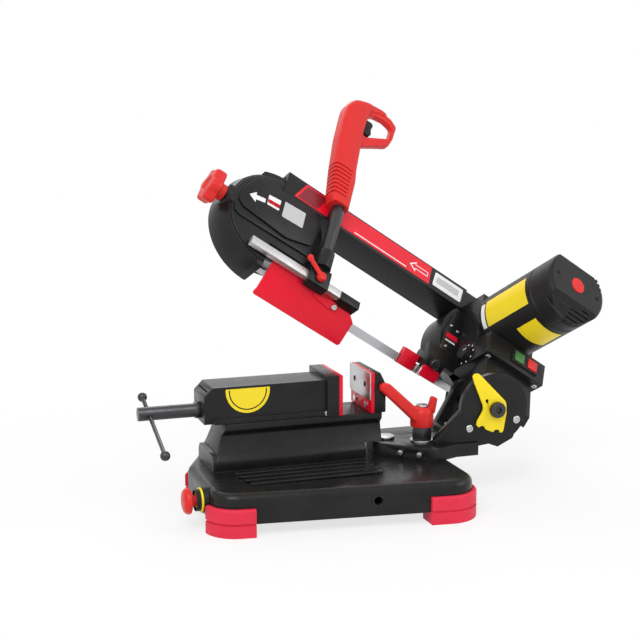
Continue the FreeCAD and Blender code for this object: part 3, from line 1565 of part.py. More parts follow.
# Vise
sub("vise_bed", vise_bed())
sub("bed_bolts", bed_bolts())
sub("fixed_jaw", fixed_jaw())
sub("fixed_jaw_plate", fixed_jaw_plate())
sub("fixed_jaw_face", fixed_jaw_face())
sub("fixed_jaw_screws", fixed_jaw_screws())
sub("vise_nut", vise_nut())
sub("vise_slide", vise_slide())
sub("moving_jaw_plate", moving_jaw_plate())
sub("vise_screw", vise_screw())
sub("tommy_bar", tommy_bar())

# Swivel and hinge
sub("swivel_pin", swivel_pin())
sub("clamp_stud", clamp_stud())
sub("swivel_plate", swivel_plate())
sub("hinge_bracket", hinge_bracket())
sub("swivel_screws", swivel_screws())
sub("hinge_pin", hinge_pin())
sub("return_spring", return_spring())
sub("spring_lever", spring_lever())
sub("swivel_lever", swivel_lever())

# Bow, wheels and blade
sub("bow_casting", bow_casting(), LEANING)
sub("wheel_cover", wheel_cover(), LEANING)
sub("blade", blade(), LEANING)
sub("drive_wheel", drive_wheel(), LEANING)
sub("idler_wheel", band_wheel(idler_at, dim.axle_radius + dim.running_gap), LEANING)
sub("idler_carriage", idler_carriage(), LEANING)
sub("tension_knob", tension_knob(), LEANING)

# Gear case, motor and switches
sub("gear_case", gear_case(), LEANING)
sub("drive_gear", drive_gear(), LEANING)
sub("mid_gear", mid_gear(), LEANING)
sub("motor_housing", motor_housing(), LEANING)
sub("motor_stator", motor_stator(), LEANING)
sub("motor_rotor", motor_rotor(), LEANING)
sub("motor_end_cap", motor_end_cap(), LEANING)
sub("motor_badge", motor_badge(), LEANING)
sub("switch_panel", switch_panel(), LEANING)
sub("start_button", push_button(dim.start_u), LEANING)
sub("stop_button", push_button(dim.stop_u), LEANING)
sub("speed_dial", speed_dial(), LEANING)

# Handle
sub("handle_bracket", handle_bracket(), LEANING)
sub("handle_tube", handle_tube(), LEANING)
grip_back = handle_w - dim.grip_width / 2
grip_front = handle_w + dim.grip_width / 2
sub("grip_half_near", grip_half((handle_w, grip_front)), LEANING)
sub("grip_half_far", grip_half((grip_back, handle_w)), LEANING)
sub("trigger", trigger(), LEANING)

# Blade guides
sub("guide_clamp", guide_clamp(), LEANING)
sub("guide_bar", guide_bar(), LEANING)
sub("guide_lock_lever", guide_lock_lever(), LEANING)
sub("front_guide_block", front_guide_block(), UPRIGHT)
sub("front_rollers", guide_rollers((dim.guide_left + dim.guide_right) / 2), UPRIGHT)
sub("blade_guard", blade_guard(), UPRIGHT)
sub("rear_guide_holder", rear_guide_holder(), UPRIGHT)
sub("rear_rollers", guide_rollers(dim.rear_roller_u), UPRIGHT)
sub("rear_guide_guard", rear_guide_guard(), UPRIGHT)
sub("rear_guide_knob", rear_guide_knob(), UPRIGHT)

doc.recompute()
faults = []
for item in doc.Objects:
    if "Invalid" in item.State or "Error" in item.State:
        faults.append(item.Label)
for item in SUBPARTS:
    if item.Shape.isNull() or not item.Shape.isValid() or not item.Shape.Solids:
        faults.append(item.Label)
if faults:
    raise RuntimeError("failed pieces: " + ", ".join(faults))

os.makedirs("parts", exist_ok=True)
for item in SUBPARTS:
    item.Shape.exportStep(os.path.join("parts", item.Label + ".step"))
print(len(SUBPARTS), "pieces written")
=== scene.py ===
"""Looks of a bench-standing portable band saw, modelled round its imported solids.

Sizes are written in millimetres and become metres where a mesh is drawn. Pieces of the head are drawn
in the leaning frame (along the arm, from the cutting strand to the return strand, along the axles).
"""
import json
import math
import bpy
from bpy.props import FloatProperty, FloatVectorProperty, IntProperty, PointerProperty
from mathutils import Matrix, Vector

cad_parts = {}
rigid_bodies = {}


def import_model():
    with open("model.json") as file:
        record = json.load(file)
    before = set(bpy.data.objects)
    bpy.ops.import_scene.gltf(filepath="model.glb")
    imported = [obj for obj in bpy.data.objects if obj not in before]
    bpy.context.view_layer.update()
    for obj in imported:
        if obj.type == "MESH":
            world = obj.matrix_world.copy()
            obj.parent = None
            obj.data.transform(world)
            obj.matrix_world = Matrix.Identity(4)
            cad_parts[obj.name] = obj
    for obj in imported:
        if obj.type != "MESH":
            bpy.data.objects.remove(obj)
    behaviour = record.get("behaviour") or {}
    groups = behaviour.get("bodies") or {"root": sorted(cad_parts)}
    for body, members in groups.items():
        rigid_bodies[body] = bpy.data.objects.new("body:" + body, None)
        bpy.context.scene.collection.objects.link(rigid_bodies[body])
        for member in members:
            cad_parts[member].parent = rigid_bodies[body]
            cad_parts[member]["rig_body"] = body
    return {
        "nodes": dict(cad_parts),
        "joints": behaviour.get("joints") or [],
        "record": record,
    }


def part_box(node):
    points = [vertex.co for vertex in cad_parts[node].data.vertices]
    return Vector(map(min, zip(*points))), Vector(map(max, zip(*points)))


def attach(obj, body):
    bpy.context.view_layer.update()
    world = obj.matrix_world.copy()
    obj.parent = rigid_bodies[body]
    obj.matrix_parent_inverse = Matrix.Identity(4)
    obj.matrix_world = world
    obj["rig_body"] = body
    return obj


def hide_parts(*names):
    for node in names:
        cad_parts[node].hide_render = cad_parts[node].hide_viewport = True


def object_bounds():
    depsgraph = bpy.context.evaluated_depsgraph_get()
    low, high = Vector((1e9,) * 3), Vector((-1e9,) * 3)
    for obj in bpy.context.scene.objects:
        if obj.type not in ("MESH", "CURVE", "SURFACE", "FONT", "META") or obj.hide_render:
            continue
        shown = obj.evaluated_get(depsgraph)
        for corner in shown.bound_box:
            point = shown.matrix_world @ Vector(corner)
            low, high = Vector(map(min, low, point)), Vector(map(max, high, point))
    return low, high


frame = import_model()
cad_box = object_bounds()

bl_info = {
    "name": "Portable band saw",
    "version": (1, 0, 0),
    "blender": (4, 5, 0),
    "location": "3D View > Sidebar > Band saw",
    "description": "Models the visible pieces of a portable band saw round its solids",
    "category": "Add Mesh",
}

MM = 0.001
MERGE = 1e-5
SMOOTH_ANGLE = 32.0


def joint_of(name):
    for item in frame["joints"]:
        if item["name"] == name:
            return item
    raise ValueError("no joint named " + name)


def axes_matrix(first, second, third, origin):
    matrix = Matrix((first, second, third)).transposed().to_4x4()
    matrix.translation = origin
    return matrix


# Frames of the head, read from the joints of the drive wheel and of the blade tension
DRIVE_U = 29.0
HOUSING_U = -392.0
WHEEL_V = 76.625
MOTOR_V = 107.125
ALONG = Vector(joint_of("tension_travel")["axis"]).normalized()
FACING = Vector(joint_of("drive_wheel_spin")["axis"]).normalized()
RISING = FACING.cross(ALONG)
BACK = Vector((0, 1, 0))
UPWARD = ALONG.cross(BACK)
STRAND = Vector(joint_of("drive_wheel_spin")["pos_m"]) - (ALONG * DRIVE_U + RISING * WHEEL_V) * MM
LEANING = axes_matrix(ALONG, RISING, FACING, STRAND)
SIDEWAYS = axes_matrix(ALONG, UPWARD, -BACK, STRAND)
FRONTAL = axes_matrix(Vector((1, 0, 0)), Vector((0, 0, 1)), -BACK, Vector())
STANDING = Matrix.Identity(4)

# Places and sizes that several pieces share. The stud is given across and back, the hinge across
# and up, and the hub of the lock lever along the arm and towards the return strand.
STUD = (149, -5)
HINGE = (254, 112)
LOCK_HUB = (-303, 11)
MOTOR_RADIUS = 57.0
GRIP_MIDDLE = 45.0
BUTTONS = (("start_button", 36.0, "green_plastic"), ("stop_button", 63.0, "red_plastic"))


def at(matrix, first, second, third):
    """The frame moved to a point of its own, in millimetres."""
    return matrix @ Matrix.Translation(Vector((first, second, third)) * MM)


def facing(matrix, point, direction):
    """A frame at a point of another one, with its third axis along a direction of that one."""
    turn = Vector(direction).to_track_quat("Z", "Y").to_matrix().to_4x4()
    return at(matrix, *point) @ turn


# Selection and shaping
def pick_none():
    if bpy.context.mode != "OBJECT":
        bpy.ops.object.mode_set(mode="OBJECT")
    bpy.ops.object.select_all(action="DESELECT")


def pick(*pieces):
    pick_none()
    for piece in pieces:
        piece.select_set(True)
    bpy.context.view_layer.objects.active = pieces[0]


def edit_all(piece):
    pick(piece)
    bpy.ops.object.mode_set(mode="EDIT")
    bpy.ops.mesh.select_all(action="SELECT")


def edit_done():
    bpy.ops.object.mode_set(mode="OBJECT")


def round_edges(piece, width, segments=2, angle=30.0):
    pick(piece)
    rounding = piece.modifiers.new("rounding", "BEVEL")
    rounding.width = width * MM
    rounding.segments = segments
    rounding.limit_method = "ANGLE"
    rounding.angle_limit = math.radians(angle)
    bpy.ops.object.modifier_apply(modifier=rounding.name)
    return piece


def join(*pieces, name=None):
    """Joins pieces into the first one, which may get a new name."""
    pick(*pieces)
    if len(pieces) > 1:
        bpy.ops.object.join()
    if name:
        pieces[0].name = name
    return pieces[0]


def combine(piece, tool, operation):
    change = piece.modifiers.new("change", "BOOLEAN")
    change.operation = operation
    change.solver = "EXACT"
    change.use_self = True
    change.object = tool
    pick(piece)
    bpy.ops.object.modifier_apply(modifier=change.name)
    pick(tool)
    bpy.ops.object.delete()
    return piece


def carve(piece, *tools):
    return combine(piece, join(*tools), "DIFFERENCE")


def set_in(piece, matrix):
    """Puts a piece drawn round the origin into its frame and keeps the place in its mesh."""
    piece.matrix_world = matrix
    pick(piece)
    bpy.ops.object.transform_apply(location=True, rotation=True, scale=True)
    return piece


def copy_of(piece, matrix):
    """A copy with its own mesh, set into another frame."""
    pick(piece)
    bpy.ops.object.duplicate(linked=False)
    return set_in(bpy.context.object, matrix)


def outline_face(name, points, level):
    """A flat face whose corners are the given points: a filled circle with its corners moved there."""
    pick_none()
    bpy.ops.mesh.primitive_circle_add(vertices=len(points), radius=MM, fill_type="NGON")
    piece = bpy.context.object
    piece.name = name
    for corner, point in zip(piece.data.vertices, points):
        corner.co = Vector((point[0], point[1], level)) * MM
    return piece


def plate(name, points, low, high, rim=0.0, segments=3):
    """A plate of an outline, drawn up to its height, with its rims rounded."""
    piece = outline_face(name, points, low)
    edit_all(piece)
    bpy.ops.mesh.extrude_region_move(TRANSFORM_OT_translate={"value": (0, 0, (high - low) * MM)})
    bpy.ops.mesh.select_all(action="SELECT")
    bpy.ops.mesh.normals_make_consistent(inside=False)
    edit_done()
    if rim:
        round_edges(piece, rim, segments, 50.0)
    return piece


def block(name, lows, highs, rim=0.0):
    points = [(lows[0], lows[1]), (highs[0], lows[1]), (highs[0], highs[1]), (lows[0], highs[1])]
    return plate(name, points, lows[2], highs[2], rim)


def turned_blocks(name, lows, highs, angles):
    """Like blocks, turned round the third axis by the angles in degrees."""
    turns = [Matrix.Rotation(math.radians(angle), 4, "Z") for angle in angles]
    return [set_in(block(name, lows, highs), turn) for turn in turns]


def ring_points(centre, radius, count, start=0.0, end=360.0):
    """Points along a circle or, with other ends than a whole turn, along an arc."""
    whole = end - start >= 360.0
    steps = count if whole else count - 1
    points = []
    for index in range(count):
        turn = math.radians(start + (end - start) * index / steps)
        points.append((centre[0] + radius * math.cos(turn), centre[1] + radius * math.sin(turn)))
    return points


def disc(name, centre, radius, low, high, rim=0.0, count=40):
    return plate(name, ring_points(centre, radius, count), low, high, rim)


def spun(name, profile, steps=56, start=0.0, angle=360.0):
    """A closed profile of (radius, height) points spun round the third axis."""
    pick_none()
    bpy.ops.mesh.primitive_circle_add(vertices=len(profile), radius=MM, fill_type="NOTHING")
    piece = bpy.context.object
    piece.name = name
    turn = math.radians(start)
    for corner, (radius, height) in zip(piece.data.vertices, profile):
        corner.co = Vector((radius * math.cos(turn), radius * math.sin(turn), height)) * MM
    edit_all(piece)
    bpy.ops.mesh.spin(steps=steps, angle=-math.radians(angle), center=(0, 0, 0), axis=(0, 0, 1))
    bpy.ops.mesh.select_all(action="SELECT")
    bpy.ops.mesh.remove_doubles(threshold=MERGE / 4)
    bpy.ops.mesh.delete_loose(use_verts=True, use_edges=True, use_faces=False)
    bpy.ops.mesh.select_all(action="SELECT")
    if angle < 360.0:
        bpy.ops.mesh.fill_holes(sides=len(profile))
        bpy.ops.mesh.select_all(action="SELECT")
    bpy.ops.mesh.normals_make_consistent(inside=False)
    edit_done()
    return piece


def merged_copy(node):
    """A copy of a solid's mesh with its loose triangles merged and its flat faces made whole."""
    source = frame["nodes"][node]
    pick_none()
    piece = bpy.data.objects.new(node + "_skin", source.data.copy())
    bpy.context.collection.objects.link(piece)
    pick(piece)
    bpy.ops.mesh.customdata_custom_splitnormals_clear()
    edit_all(piece)
    bpy.ops.mesh.remove_doubles(threshold=MERGE)
    bpy.ops.mesh.dissolve_limited(angle_limit=math.radians(0.6))
    edit_done()
    return piece


# Finishes
def add_node(tree, kind, **inputs):
    node = tree.nodes.new(kind)
    for name, value in inputs.items():
        node.inputs[name.replace("_", " ")].default_value = value
    return node


def noise(tree, place, size, detail=3.0):
    """Noise whose features are about the given size in millimetres."""
    node = add_node(tree, "ShaderNodeTexNoise", Scale=1.0 / (size * MM), Detail=detail)
    tree.links.new(place, node.inputs["Vector"])
    return node.outputs["Fac"]


def spread(tree, value, low, high, from_low=0.3, from_high=0.7):
    node = add_node(tree, "ShaderNodeMapRange", From_Min=from_low, From_Max=from_high, To_Min=low,
                    To_Max=high)
    tree.links.new(value, node.inputs["Value"])
    return node.outputs["Result"]


def math_node(tree, operation, first, second):
    node = tree.nodes.new("ShaderNodeMath")
    node.operation = operation
    tree.links.new(first, node.inputs[0])
    tree.links.new(second, node.inputs[1])
    return node.outputs["Value"]


def mix_shaders(tree, factor, first, second, output):
    """Sends a mix of two shaders to an output."""
    mix = tree.nodes.new("ShaderNodeMixShader")
    tree.links.new(factor, mix.inputs["Fac"])
    tree.links.new(first, mix.inputs[1])
    tree.links.new(second, mix.inputs[2])
    tree.links.new(mix.outputs["Shader"], tree.nodes[output].inputs["Surface"])


def blend_colour(tree, factor, first, second):
    node = tree.nodes.new("ShaderNodeMix")
    node.data_type = "RGBA"
    tree.links.new(factor, node.inputs["Factor"])
    for socket, value in (("A", first), ("B", second)):
        plug = [item for item in node.inputs if item.name == socket and item.type == "RGBA"][0]
        if hasattr(value, "is_linked"):
            tree.links.new(value, plug)
        else:
            plug.default_value = (*value, 1.0)
    return [item for item in node.outputs if item.type == "RGBA"][0]


def worn_and_highlit_edges(tree, place, reach):
    """Edge mask for wear and a painted highlight: where a rounded normal leaves the true one, broken by
    noise.
    """
    rounded = add_node(tree, "ShaderNodeBevel", Radius=reach * MM)
    rounded.samples = 4
    true = tree.nodes.new("ShaderNodeNewGeometry")
    compare = tree.nodes.new("ShaderNodeVectorMath")
    compare.operation = "DOT_PRODUCT"
    tree.links.new(rounded.outputs["Normal"], compare.inputs[0])
    tree.links.new(true.outputs["Normal"], compare.inputs[1])
    edge = spread(tree, compare.outputs["Value"], 1.0, 0.0, 0.86, 0.985)
    broken = spread(tree, noise(tree, place, 6.0), 0.25, 1.0, 0.35, 0.65)
    return math_node(tree, "MULTIPLY", edge, broken)


def surface(name, colour, rough, metal=0.0, specular=0.5, grain=0.6, height=0.05, mottle=0.15, uneven=0.08,
            brushed=None, edge_wear_and_highlight=None, coat=0.0):
    """A finish with mottled colour, uneven gloss and a fine grain, all from Object coordinates."""
    material = bpy.data.materials.new(name)
    material.use_nodes = True
    tree = material.node_tree
    shader = tree.nodes["Principled BSDF"]
    shader.inputs["Metallic"].default_value = metal
    shader.inputs["Specular IOR Level"].default_value = specular
    shader.inputs["Coat Weight"].default_value = coat
    place = tree.nodes.new("ShaderNodeTexCoord").outputs["Object"]
    grained = place
    if brushed is not None:
        mapping = tree.nodes.new("ShaderNodeMapping")
        mapping.inputs["Scale"].default_value = brushed
        tree.links.new(place, mapping.inputs["Vector"])
        grained = mapping.outputs["Vector"]
    patch = spread(tree, noise(tree, place, 38.0, 4.0), 0.0, 1.0)
    lighter = tuple(min(1.0, part * (1.0 + mottle) + 0.012 * mottle) for part in colour)
    shade = blend_colour(tree, patch, colour, lighter)
    # Edges blend towards a lighter colour: partly wear, partly a painted highlight along the rims.
    if edge_wear_and_highlight is not None:
        shade = blend_colour(tree, worn_and_highlit_edges(tree, place, 1.4), shade, edge_wear_and_highlight)
    tree.links.new(shade, shader.inputs["Base Color"])
    gloss = spread(tree, noise(tree, grained, 9.0, 5.0), max(0.03, rough - uneven), rough + uneven)
    tree.links.new(gloss, shader.inputs["Roughness"])
    bump = add_node(tree, "ShaderNodeBump", Strength=0.5, Distance=height * MM)
    tree.links.new(noise(tree, grained, grain, 2.0), bump.inputs["Height"])
    tree.links.new(bump.outputs["Normal"], shader.inputs["Normal"])
    return material


SURFACES = {}


def surface_of(finish):
    """The material of a finish, made once."""
    if finish in SURFACES:
        return SURFACES[finish]
    tone = bpy.context.scene.saw_colours
    black, red, yellow = tuple(tone.black), tuple(tone.red), tuple(tone.yellow)
    grey = (0.16, 0.16, 0.165)
    # The edge colours below are partly wear and partly a painted highlight along the rims.
    recipes = {
        "black_casting": dict(colour=black, rough=0.3, specular=0.22, grain=1.1, height=0.025, mottle=0.3,
                              uneven=0.05, edge_wear_and_highlight=(0.045, 0.045, 0.048)),
        "black_plastic": dict(colour=tuple(tone.plastic), rough=0.42, specular=0.2, grain=0.5, height=0.05,
                              edge_wear_and_highlight=(0.045, 0.045, 0.048)),
        "red_plastic": dict(colour=red, rough=0.36, specular=0.24, grain=0.8, height=0.02, mottle=0.08),
        "red_paint": dict(colour=tuple(tone.paint), rough=0.3, specular=0.26, grain=1.6, height=0.04,
                          mottle=0.06, coat=0.06),
        "red_rubber": dict(colour=tuple(tone.rubber), rough=0.5, specular=0.24, grain=0.4, height=0.06,
                           mottle=0.14),
        "yellow_plastic": dict(colour=yellow, rough=0.38, specular=0.28, grain=1.2, height=0.03,
                               mottle=0.06),
        "green_plastic": dict(colour=(0.05, 0.18, 0.045), rough=0.3, specular=0.3, grain=0.8, height=0.02,
                              mottle=0.1),
        "black_trigger": dict(colour=(0.012, 0.012, 0.013), rough=0.5, specular=0.2, grain=0.4, height=0.06),
        "bright_steel": dict(colour=(0.5, 0.5, 0.51), rough=0.32, metal=1.0, grain=0.5, height=0.02,
                             brushed=(1.0, 0.25, 1.0)),
        "blade_steel": dict(colour=(0.45, 0.46, 0.48), rough=0.28, metal=1.0, grain=0.3, height=0.02,
                            brushed=(0.08, 1.0, 1.0)),
        "guide_alloy": dict(colour=(0.5, 0.495, 0.49), rough=0.42, metal=0.85, grain=0.7, height=0.04,
                            mottle=0.12),
        "dark_steel": dict(colour=(0.05, 0.05, 0.053), rough=0.34, metal=0.75, grain=0.5, height=0.03,
                           edge_wear_and_highlight=grey),
        "gear_steel": dict(colour=(0.32, 0.32, 0.33), rough=0.32, metal=1.0, grain=0.5, height=0.03),
        "wheel_iron": dict(colour=(0.22, 0.22, 0.225), rough=0.4, metal=1.0, grain=0.8, height=0.05),
        "stator_iron": dict(colour=(0.14, 0.13, 0.12), rough=0.5, metal=0.9, grain=0.4, height=0.05,
                            brushed=(0.1, 0.1, 1.0)),
        # Near-black finish: painted shade in holes, and the dark printed ring on the slide's plate.
        "hole_shade_and_dark_print": dict(colour=(0.004, 0.004, 0.004), rough=0.7, specular=0.2, grain=0.6, height=0.04),
    }
    prints = {
        "white_print": ((0.8, 0.8, 0.8), 0.42, 0.04),
        "grey_print": ((0.5, 0.5, 0.51), 0.38, 0.08),
        "red_print": (tuple(tone.paint), 0.36, 0.1),
        "dark_red_print": ((0.2, 0.008, 0.016), 0.36, 0.1),
        "yellow_print": (yellow, 0.4, 0.05),
    }
    for name, (colour, rough, mottle) in prints.items():
        recipes[name] = dict(colour=colour, rough=rough, specular=0.4, grain=0.7, height=0.02, mottle=mottle)
    SURFACES[finish] = surface(finish, **recipes[finish])
    return SURFACES[finish]


def body_of(node):
    return frame["nodes"][node]["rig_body"]


def finish_piece(piece, body, slot, nodes=(), finish=None, angle=SMOOTH_ANGLE):
    """Gives a finished piece its surface, the body that it rides on and the solids it stands for."""
    pick(piece)
    bpy.ops.object.transform_apply(location=True, rotation=True, scale=True)
    bpy.ops.object.shade_smooth_by_angle(angle=math.radians(angle))
    piece.data.materials.clear()
    piece.data.materials.append(surface_of(finish or slot))
    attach(piece, body)
    if nodes:
        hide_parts(*nodes)
    return piece


def slot_of(node):
    for item in frame["record"]["subparts"]:
        if item["node"] == node:
            return item["material_slot"]
    raise ValueError("no slot for " + node)


def soften(node, width, segments=2):
    """A solid's own shape with its edges rounded, in place of the solid."""
    piece = merged_copy(node)
    round_edges(piece, width, segments)
    return finish_piece(piece, body_of(node), slot_of(node), (node,))


def paint(node):
    """A solid that stays as it is gets its surface."""
    solid = frame["nodes"][node]
    if not solid.material_slots:
        solid.data.materials.append(surface_of(slot_of(node)))
    for place in solid.material_slots:
        place.material = surface_of(slot_of(node))


def rounded(points, radius, steps=6):
    """An outline with an arc at each corner; a point's third value is its own radius."""
    out = []
    count = len(points)
    for index, corner in enumerate(points):
        here = Vector(corner[:2])
        before = Vector(points[index - 1][:2]) - here
        after = Vector(points[(index + 1) % count][:2]) - here
        own = corner[2] if len(corner) > 2 else radius
        half = before.angle(after) / 2
        reach = min(own / math.tan(half), before.length * 0.48, after.length * 0.48)
        own = reach * math.tan(half)
        if own < 0.05 or half > math.radians(88.0):
            out.append(tuple(here))
            continue
        middle = here + (before.normalized() + after.normalized()).normalized() * (own / math.sin(half))
        start = here + before.normalized() * reach - middle
        end = here + after.normalized() * reach - middle
        first = math.atan2(start.y, start.x)
        sweep = math.remainder(math.atan2(end.y, end.x) - first, 2 * math.pi)
        for step in range(steps + 1):
            turn = first + sweep * step / steps
            out.append((middle.x + own * math.cos(turn), middle.y + own * math.sin(turn)))
    return out


def cut_plane(piece, point, normal):
    """Cuts away what lies beyond a plane and closes the cut."""
    edit_all(piece)
    bpy.ops.mesh.bisect(plane_co=point, plane_no=normal, use_fill=True, clear_outer=True)
    edit_done()
    return piece


def smooth_skin(piece, voxel, passes):
    """One even skin over joined forms, with its creases eased."""
    pick(piece)
    skin = piece.modifiers.new("skin", "REMESH")
    skin.mode = "VOXEL"
    skin.voxel_size = voxel * MM
    bpy.ops.object.modifier_apply(modifier=skin.name)
    ease = piece.modifiers.new("ease", "SMOOTH")
    ease.factor = 0.5
    ease.iterations = passes
    bpy.ops.object.modifier_apply(modifier=ease.name)
    return piece


# Settings
def colour_setting(name, description, default):
    return FloatVectorProperty(name=name, description=description, subtype="COLOR", default=default, min=0.0,
                               max=1.0)


def length_setting(name, description, default, low, high):
    return FloatProperty(name=name, description=description, unit="LENGTH", default=default * MM,
                         min=low * MM, max=high * MM)


class SawColours(bpy.types.PropertyGroup):
    """Colours of the saw's finishes."""
    black: colour_setting("Casting black", "Satin paint of the castings", (0.0085, 0.008, 0.008))
    plastic: colour_setting("Plastic black", "Moulded plastic of the motor", (0.0115, 0.011, 0.011))
    red: colour_setting("Plastic red", "Handle, knob and levers", (0.64, 0.022, 0.02))
    paint: colour_setting("Paint red", "Painted guards and jaws", (0.72, 0.003, 0.022))
    rubber: colour_setting("Rubber red", "Feet of the base", (0.68, 0.025, 0.06))
    yellow: colour_setting("Yellow", "Spring lever and plates", (0.88, 0.68, 0.015))


class SawShapes(bpy.types.PropertyGroup):
    """Sizes of the visible detail."""
    casting_edge: length_setting("Casting edge", "Rounding of the castings' edges", 2.2, 0.1, 6)
    machined_edge: length_setting("Machined edge", "Rounding of plates and screws", 0.7, 0.05, 3)
    tooth_pitch: length_setting("Tooth pitch", "Distance between the blade's teeth", 3.2, 1, 10)
    grip_grooves: IntProperty(name="Grip grooves", description="Grooves in the lower part of the handle",
                              default=8, min=0, max=14)
    knob_lobes: IntProperty(name="Knob lobes", description="Lobes of the tension knob", default=6, min=3,
                            max=12)


class SawStage(bpy.types.PropertyGroup):
    """Camera, floor and light."""
    lens: FloatProperty(name="Lens", description="Focal length of the camera in millimetres", default=73.1,
                        min=20.0, max=200.0)
    sky: FloatProperty(name="Sky light", description="Strength of the even light round the saw",
                       default=0.55, min=0.0, max=2.0)
    key: FloatProperty(name="Key light", description="Power of the large lamp", default=42.0, min=0.0,
                       max=400.0)
    floor: colour_setting("Floor", "Colour of the floor", (0.86, 0.86, 0.86))


def shapes():
    return bpy.context.scene.saw_shapes


def casting_edge():
    return shapes().casting_edge / MM


def machined_edge():
    return shapes().machined_edge / MM


# Stage, with the camera where the photograph was taken from
WHITE = (1, 1, 1, 1)
CAMERA_PLACE = Vector((-614.8, -1752.3, 583.0)) * MM
CAMERA_AIM = Vector((26.5, 110.0, 235.7)) * MM
LAMP_AIM = Vector((0, 0.05, 0.2))


class SAW_OT_stage(bpy.types.Operator):
    """Sets the floor, the soft light and the camera at the photograph's viewing angle"""
    bl_idname = "saw.stage"
    bl_label = "Stage"

    def execute(self, context):
        stage = context.scene.saw_stage
        context.scene.view_settings.view_transform = "Standard"
        pick_none()
        bpy.ops.object.camera_add(location=CAMERA_PLACE)
        camera = context.object
        aim = CAMERA_AIM - camera.location
        camera.rotation_euler = aim.to_track_quat("-Z", "Y").to_euler()
        camera.data.lens = stage.lens
        camera.data.sensor_width = 36.0
        camera.data.clip_end = 50.0
        context.scene.camera = camera
        make_floor(stage)
        make_world(stage)
        lamps = [
            ("key_lamp", (-1.1, -1.5, 2.1), 1.6, 1.0),
            ("fill_lamp", (1.9, -1.2, 1.3), 1.4, 0.35),
            ("back_lamp", (0.3, 1.9, 1.9), 1.5, 0.45),
        ]
        for name, place, size, share in lamps:
            pick_none()
            bpy.ops.object.light_add(type="AREA", location=place)
            lamp = context.object
            lamp.name = name
            lamp.data.shape = "SQUARE"
            lamp.data.size = size
            lamp.data.energy = stage.key * share
            aim = LAMP_AIM - lamp.location
            lamp.rotation_euler = aim.to_track_quat("-Z", "Y").to_euler()
        return {"FINISHED"}


def seen_rays(tree):
    """1 for rays of the camera, of gloss and of glass, which show the white background."""
    path = tree.nodes.new("ShaderNodeLightPath")
    value = path.outputs["Is Camera Ray"]
    for name in ("Is Glossy Ray", "Is Transmission Ray"):
        value = math_node(tree, "MAXIMUM", value, path.outputs[name])
    return value


def make_world(stage):
    world = bpy.data.worlds.new("white_room")
    bpy.context.scene.world = world
    world.use_nodes = True
    tree = world.node_tree
    lit = tree.nodes["Background"]
    lit.inputs["Color"].default_value = WHITE
    lit.inputs["Strength"].default_value = stage.sky
    seen = add_node(tree, "ShaderNodeBackground", Color=WHITE, Strength=1.0)
    mix_shaders(tree, seen_rays(tree), lit.outputs["Background"], seen.outputs["Background"], "World Output")


def make_floor(stage):
    """A pale floor that keeps the shadow near the saw and fades to white further out."""
    level = cad_box[0][2]
    pick_none()
    bpy.ops.mesh.primitive_grid_add(x_subdivisions=4, y_subdivisions=4, size=30.0, location=(0, 0, level))
    floor = bpy.context.object
    floor.name = "floor"
    bpy.ops.object.transform_apply(location=True)
    material = bpy.data.materials.new("pale_floor")
    material.use_nodes = True
    tree = material.node_tree
    shader = tree.nodes["Principled BSDF"]
    shader.inputs["Base Color"].default_value = (*stage.floor, 1.0)
    shader.inputs["Roughness"].default_value = 0.9
    shader.inputs["Specular IOR Level"].default_value = 0.1
    glow = add_node(tree, "ShaderNodeEmission", Color=WHITE)
    place = tree.nodes.new("ShaderNodeTexCoord")
    reach = tree.nodes.new("ShaderNodeVectorMath")
    reach.operation = "LENGTH"
    tree.links.new(place.outputs["Object"], reach.inputs[0])
    fade = spread(tree, reach.outputs["Value"], 0.74, 1.0, 0.28, 0.8)
    factor = math_node(tree, "MULTIPLY", fade, seen_rays(tree))
    mix_shaders(tree, factor, shader.outputs["BSDF"], glow.outputs["Emission"], "Material Output")
    floor.data.materials.append(material)


# Screws, modelled once and copied
def screw_head(radius, height):
    """A round screw head with a six-sided socket, standing on the origin."""
    profile = [(0, 0), (radius, 0), (radius, height * 0.7), (radius * 0.86, height), (0, height)]
    head = spun("screw", profile, 28)
    socket = plate("socket", ring_points((0, 0), radius * 0.52, 6), height * 0.35, height + 1)
    return carve(head, socket)


def screws(name, body, radius, height, places):
    """Like screws at several frames, as one piece."""
    first = screw_head(radius, height)
    heads = [copy_of(first, place) for place in places]
    pick(first)
    bpy.ops.object.delete()
    return finish_piece(join(*heads, name=name), body, "bright_steel")


# Base
BASE_CORNERS = [(-200, -110), (178, -158), (178, 135), (-158, 135), (-200, 50)]
BASE_CORNER = 40.0


def base_outline(grow):
    """The outline of the base, wider by a distance at every side."""
    ways = [(-1, -1), (1, -1), (1, 1), (-1, 1), (-1, 1)]
    points = [(x + side * grow, y + other * grow) for (x, y), (side, other) in zip(BASE_CORNERS, ways)]
    return rounded(points, BASE_CORNER + grow, 10)


